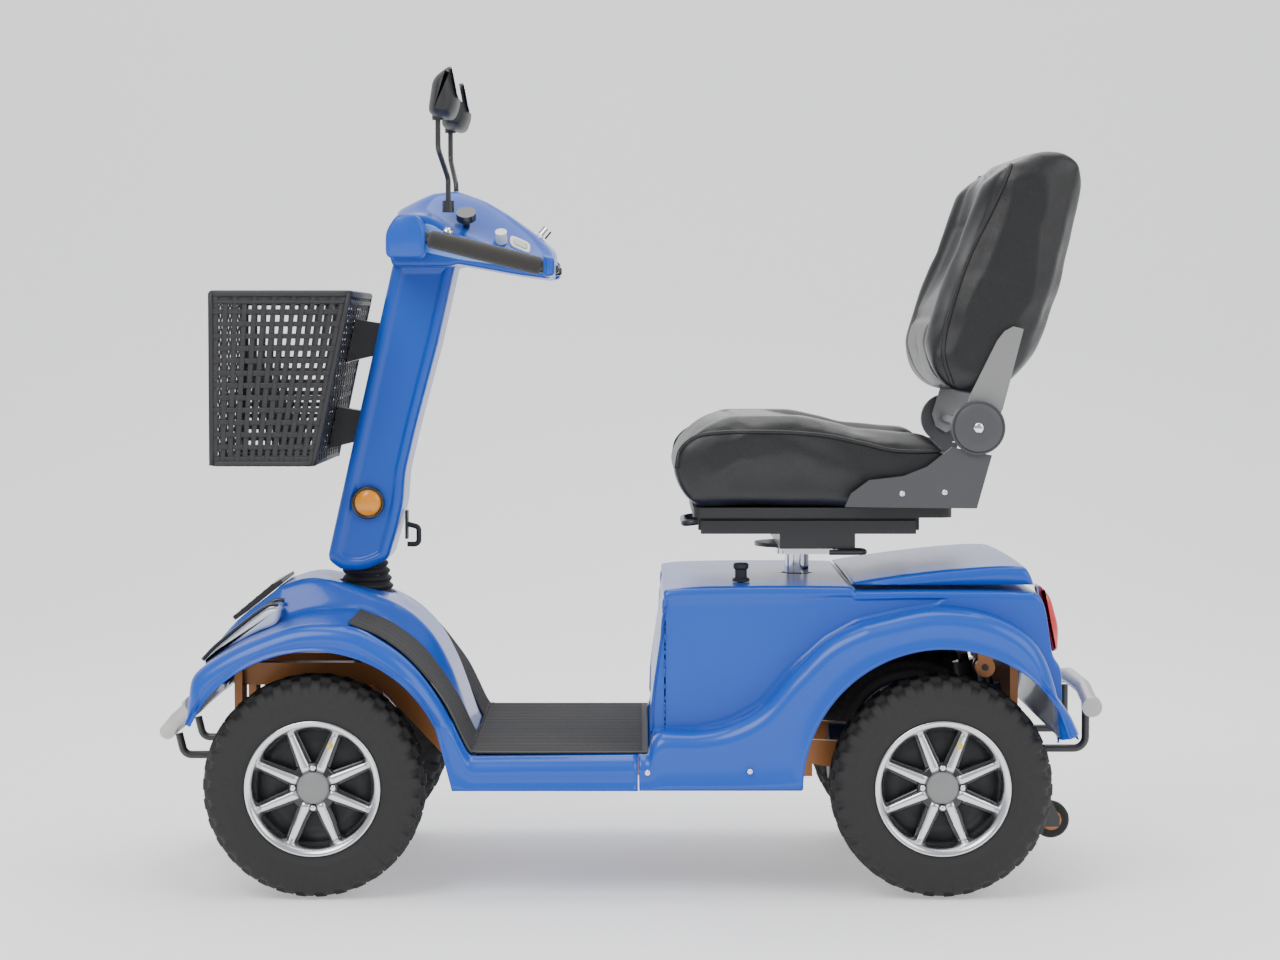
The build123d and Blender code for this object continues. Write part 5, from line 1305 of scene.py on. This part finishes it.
# ------------------------------------------------------------------ small trim
class SCOOTER_OT_trim(bpy.types.Operator):
    """Build lamp rims and lenses, screws, mirror glass, louvres and small hubs"""
    bl_idname = "scooter.trim"
    bl_label = "Small trim"

    def execute(self, context):
        mounted("amber_look", self.side_lamps(), "tiller", "amber_lens", "amber_lamps")
        mounted("headlight_look", self.lamps(HEADLIGHT, 0.108, 0.188, "clear lens"), "chassis", "head_lens", "headlights")
        mounted("headlight_trim", self.headlight_trim(), "chassis", "head_lens")
        mounted("tail_look", self.lamps(TAIL_LIGHT, 0.160, 0.236, "red lens"), "chassis", "red_lens", "tail_lights")
        for hand in SIDES:
            node = "mirror_head_" + hand
            mounted(node + "_look", self.mirror(node), hand + "_mirror", "black_plastic", node)
        mounted("seat_screws", self.recliner_trim() + self.screws(((0.413, 0.595), (0.476, 0.597)), 0.2405, 0.0048),
                "seat", "chrome")
        mounted("shell_screws", self.screws(((0.035, 0.190), (0.185, 0.192)), 0.3196, 0.0045), "chassis", "chrome")
        self.anti_tip()
        mounted("grille_look", self.louvres(), "chassis", "black_plastic")
        return {"FINISHED"}

    def side_lamps(self):
        """Amber domes with fine rings pressed in, in black rims."""
        rim = [(0.0205, 0.0), (0.0255, 0.0), (0.0255, 0.0035), (0.0240, 0.0052), (0.0205, 0.0045)]
        radius = 0.0208 * np.cos(np.linspace(math.pi / 2, 0, 12))
        rise = 0.002 + 0.0095 * np.sin(np.linspace(math.pi / 2, 0, 12)) + 0.0004 * np.cos(radius * 2600)
        dome = [*zip(radius, rise), (0.0208, 0.0), (0, 0.0)]
        pieces = []
        for side in SIDES.values():
            spot, axis = (-0.395, side * 0.0703, 0.572), (0, side, 0)
            pieces += [lathe("rim", rim, spot, axis, "black gloss", ring=True), lathe("lamp", dome, spot, axis, "amber")]
        return pieces

    def lamps(self, points, y0, y1, hue):
        """A pair of lamps as blocks with rolled edges."""
        line = closed_line(metres(points), 90)
        steps = ((y0, 0.006), (y0 + 0.002, 0.002), (y0 + 0.006, 0.0), (y1 - 0.006, 0.0), (y1 - 0.002, 0.002), (y1, 0.006))
        return [block("lamp", line, steps, side, hue) for side in SIDES.values()]

    def headlight_trim(self):
        """Bezels along the lamps' edges and flutes across their faces."""
        line = np.array([(-0.6345, 0.342), (-0.607, 0.369), (-0.541, 0.4205), (-0.520, 0.4245)])
        bezel = respaced(curve(line, 60), 40)
        flute = respaced(curve(line[:3] + (0.0015, -0.0005), 40), 24)
        pieces = []
        for side in SIDES.values():
            pieces += [tube("bezel", at_y(bezel, side * y), 0.0030, "black gloss", 8) for y in (0.1085, 0.1875)]
            pieces += [tube("flute", at_y(flute, side * y), 0.0011, "clear lens", 6)
                       for y in np.linspace(0.118, 0.178, 7)]
        return pieces

    def mirror(self, node):
        """A shell whose outline is pinched towards its ends, its neck and a slightly bowed pane."""
        low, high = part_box(node)
        y, half = (low.y + high.y) / 2, (high.y - low.y) / 2
        line = closed_line(metres(MIRROR), 80, 0.45)
        rows = [at_y(inset_line(line, 0.012 * abs(share) ** 4), y + (half - 0.0008) * share)
                for share in np.linspace(-1, 1, 25)]
        shell = grid_object("mirror_shell", np.stack(rows, 0), "black plastic", close_columns=True, caps=True)
        neck = tube("mirror_neck", [(-0.280, y, z) for z in (1.1532, 1.160, 1.166)], 0.0088, "black plastic", 20)
        foot, top = np.array([-0.2475, 1.181]), np.array([-0.2572, 1.232])
        normal = unit(np.array([top[1] - foot[1], foot[0] - top[0]]))
        share = np.linspace(0.04, 0.93, 16)[:, None]
        x, z = (foot + (top - foot) * share + normal * 0.0006).T[:, :, None]
        width = (half - 0.010) * np.sqrt(1 - (2 * share - 1) ** 4 * 0.35)
        grid = np.stack(np.broadcast_arrays(x, y + width * np.linspace(-1, 1, 15), z), -1)
        return [shell, neck, walled(grid_object("mirror_pane", grid, "mirror glass"), 0.0012)]

    def anti_tip(self):
        """Coppery hubs in the small tail wheels."""
        for hand in SIDES:
            low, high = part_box("anti_tip_wheel_" + hand)
            half = (high.y - low.y) / 2 + 0.0003
            hub = [(0.0056, half), (0.014, half), (0.017, half - 0.002), (0.017, -half + 0.002), (0.014, -half),
                   (0.0056, -half)]
            piece = lathe("hub", hub, (low + high) / 2, (0, 1, 0), "copper", 32, ring=True)
            mounted("anti_tip_hub", [piece], hand + "_anti_tip", "copper_paint")

    def recliner_trim(self):
        """Discs and nuts over the recliner's pivots."""
        disc = [(0, 0.0030), (0.020, 0.0030), (0.034, 0.0024), (0.0375, 0.0), (0, -0.001)]
        nut = [(0, 0.0062), (0.006, 0.0062), (0.0085, 0.0046), (0.009, 0.002), (0, 0.002)]
        return [lathe("recliner", profile, (0.525, side * 0.2462, 0.693), (0, side, 0), hue, sides)
                for side in SIDES.values() for profile, hue, sides in ((disc, "grey plastic", 48), (nut, "chrome", 6))]

    def screws(self, places, y, radius):
        """Domed screws with a round recess, at the same places on both sides."""
        profile = [(0, 0.0004), (radius * 0.30, 0.0004), (radius * 0.36, radius * 0.42),
                   (radius * 0.72, radius * 0.36), (radius, radius * 0.08), (radius, -0.001), (0, -0.001)]
        return [lathe("screw", profile, (x, side * y, z), (0, side, 0), "chrome", 16)
                for side in SIDES.values() for x, z in places]

    def louvres(self):
        """Rows of rounded slats over the nose panel, each a shallow cosine across."""
        y = np.linspace(-0.072, 0.072, 25)
        bow = 0.0015 * np.cos(y / 0.075 * math.pi / 2)
        return [tube("louvre", np.stack([np.full(25, -0.6005 + 0.0115 * k), y, 0.3955 + 0.0095 * k + bow], 1), 0.0034,
                     "black gloss", 10) for k in range(6)]


# ------------------------------------------------------------------ setting
# name, place, size in metres and power in watts
LIGHTS = (("key_light", (-2.2, -3.2, 4.2), 3.4, 165), ("fill_light", (3.4, -2.6, 2.6), 3.2, 70),
          ("top_light", (0.3, 0.6, 4.6), 3.6, 110), ("rim_light", (0.5, 4.0, 2.8), 2.6, 25))


class SCOOTER_OT_stage(bpy.types.Operator):
    """Set the floor, lights and camera"""
    bl_idname = "scooter.stage"
    bl_label = "Stage"

    def execute(self, context):
        """A floor that bends up into a backdrop by a quarter circle, four soft lights and a camera."""
        bend = [(3.0 + 3.0 * math.sin(a), 3.0 - 3.0 * math.cos(a)) for a in np.linspace(0, math.pi / 2, 16)[1:]]
        run = [(-7.0, 0.0), (3.0, 0.0), *bend, (6.0, 14.0)]
        grid = [[(x, y, z) for x in np.linspace(-30, 30, 9)] for y, z in run]
        grid_object("studio_floor", grid, "studio floor")
        for name, place, size, power in LIGHTS:
            lamp = bpy.data.lights.new(name, "AREA")
            lamp.shape = "DISK"
            lamp.size = size
            lamp.energy = power
            turn = (Vector((0, 0, 0.5)) - Vector(place)).to_track_quat("-Z", "Y").to_euler()
            self.hold(name, lamp, place, turn)
        world = bpy.data.worlds.new("studio")
        world.use_nodes = True
        set_inputs(world.node_tree.nodes["Background"], Color=(0.93, 0.95, 1.0, 1), Strength=0.55)
        context.scene.world = world
        view = bpy.data.cameras.new("camera")
        view.lens = 84.3
        view.sensor_width = 36.0
        context.scene.camera = self.hold("camera", view, (0.024, -4.680, 0.838), (math.radians(87.13), 0, 0))
        return {"FINISHED"}

    def hold(self, name, data, place, turn):
        """A light or camera put in its place, as part of the stage."""
        holder = bpy.data.objects.new(name, data)
        bpy.context.scene.collection.objects.link(holder)
        holder.location = place
        holder.rotation_euler = turn
        return holder


# ------------------------------------------------------------------ panel and registration
STEPS = (SCOOTER_OT_frame_parts, SCOOTER_OT_wheels, SCOOTER_OT_front_body, SCOOTER_OT_rear_body,
         SCOOTER_OT_deck_cover, SCOOTER_OT_tiller, SCOOTER_OT_bellows, SCOOTER_OT_mat, SCOOTER_OT_basket,
         SCOOTER_OT_seat, SCOOTER_OT_trim, SCOOTER_OT_stage)


class SCOOTER_PT_panel(bpy.types.Panel):
    """Sidebar panel with one button for each step"""
    bl_label = "Mobility Scooter"
    bl_idname = "SCOOTER_PT_panel"
    bl_space_type = "VIEW_3D"
    bl_region_type = "UI"
    bl_category = "Scooter"

    def draw(self, context):
        for step in STEPS:
            self.layout.operator(step.bl_idname)
        for group in (context.scene.scooter_sizes, context.scene.scooter_colours):
            for name in group.__annotations__:
                self.layout.prop(group, name)


CLASSES = (ScooterColours, ScooterSizes, *STEPS, SCOOTER_PT_panel)


def register():
    for item in CLASSES:
        bpy.utils.register_class(item)
    bpy.types.Scene.scooter_colours = PointerProperty(type=ScooterColours)
    bpy.types.Scene.scooter_sizes = PointerProperty(type=ScooterSizes)


def unregister():
    del bpy.types.Scene.scooter_sizes
    del bpy.types.Scene.scooter_colours
    for item in reversed(CLASSES):
        bpy.utils.unregister_class(item)


def main():
    register()
    for step in STEPS:
        group, name = step.bl_idname.split(".")
        getattr(getattr(bpy.ops, group), name)()


if __name__ == "__main__":
    main()
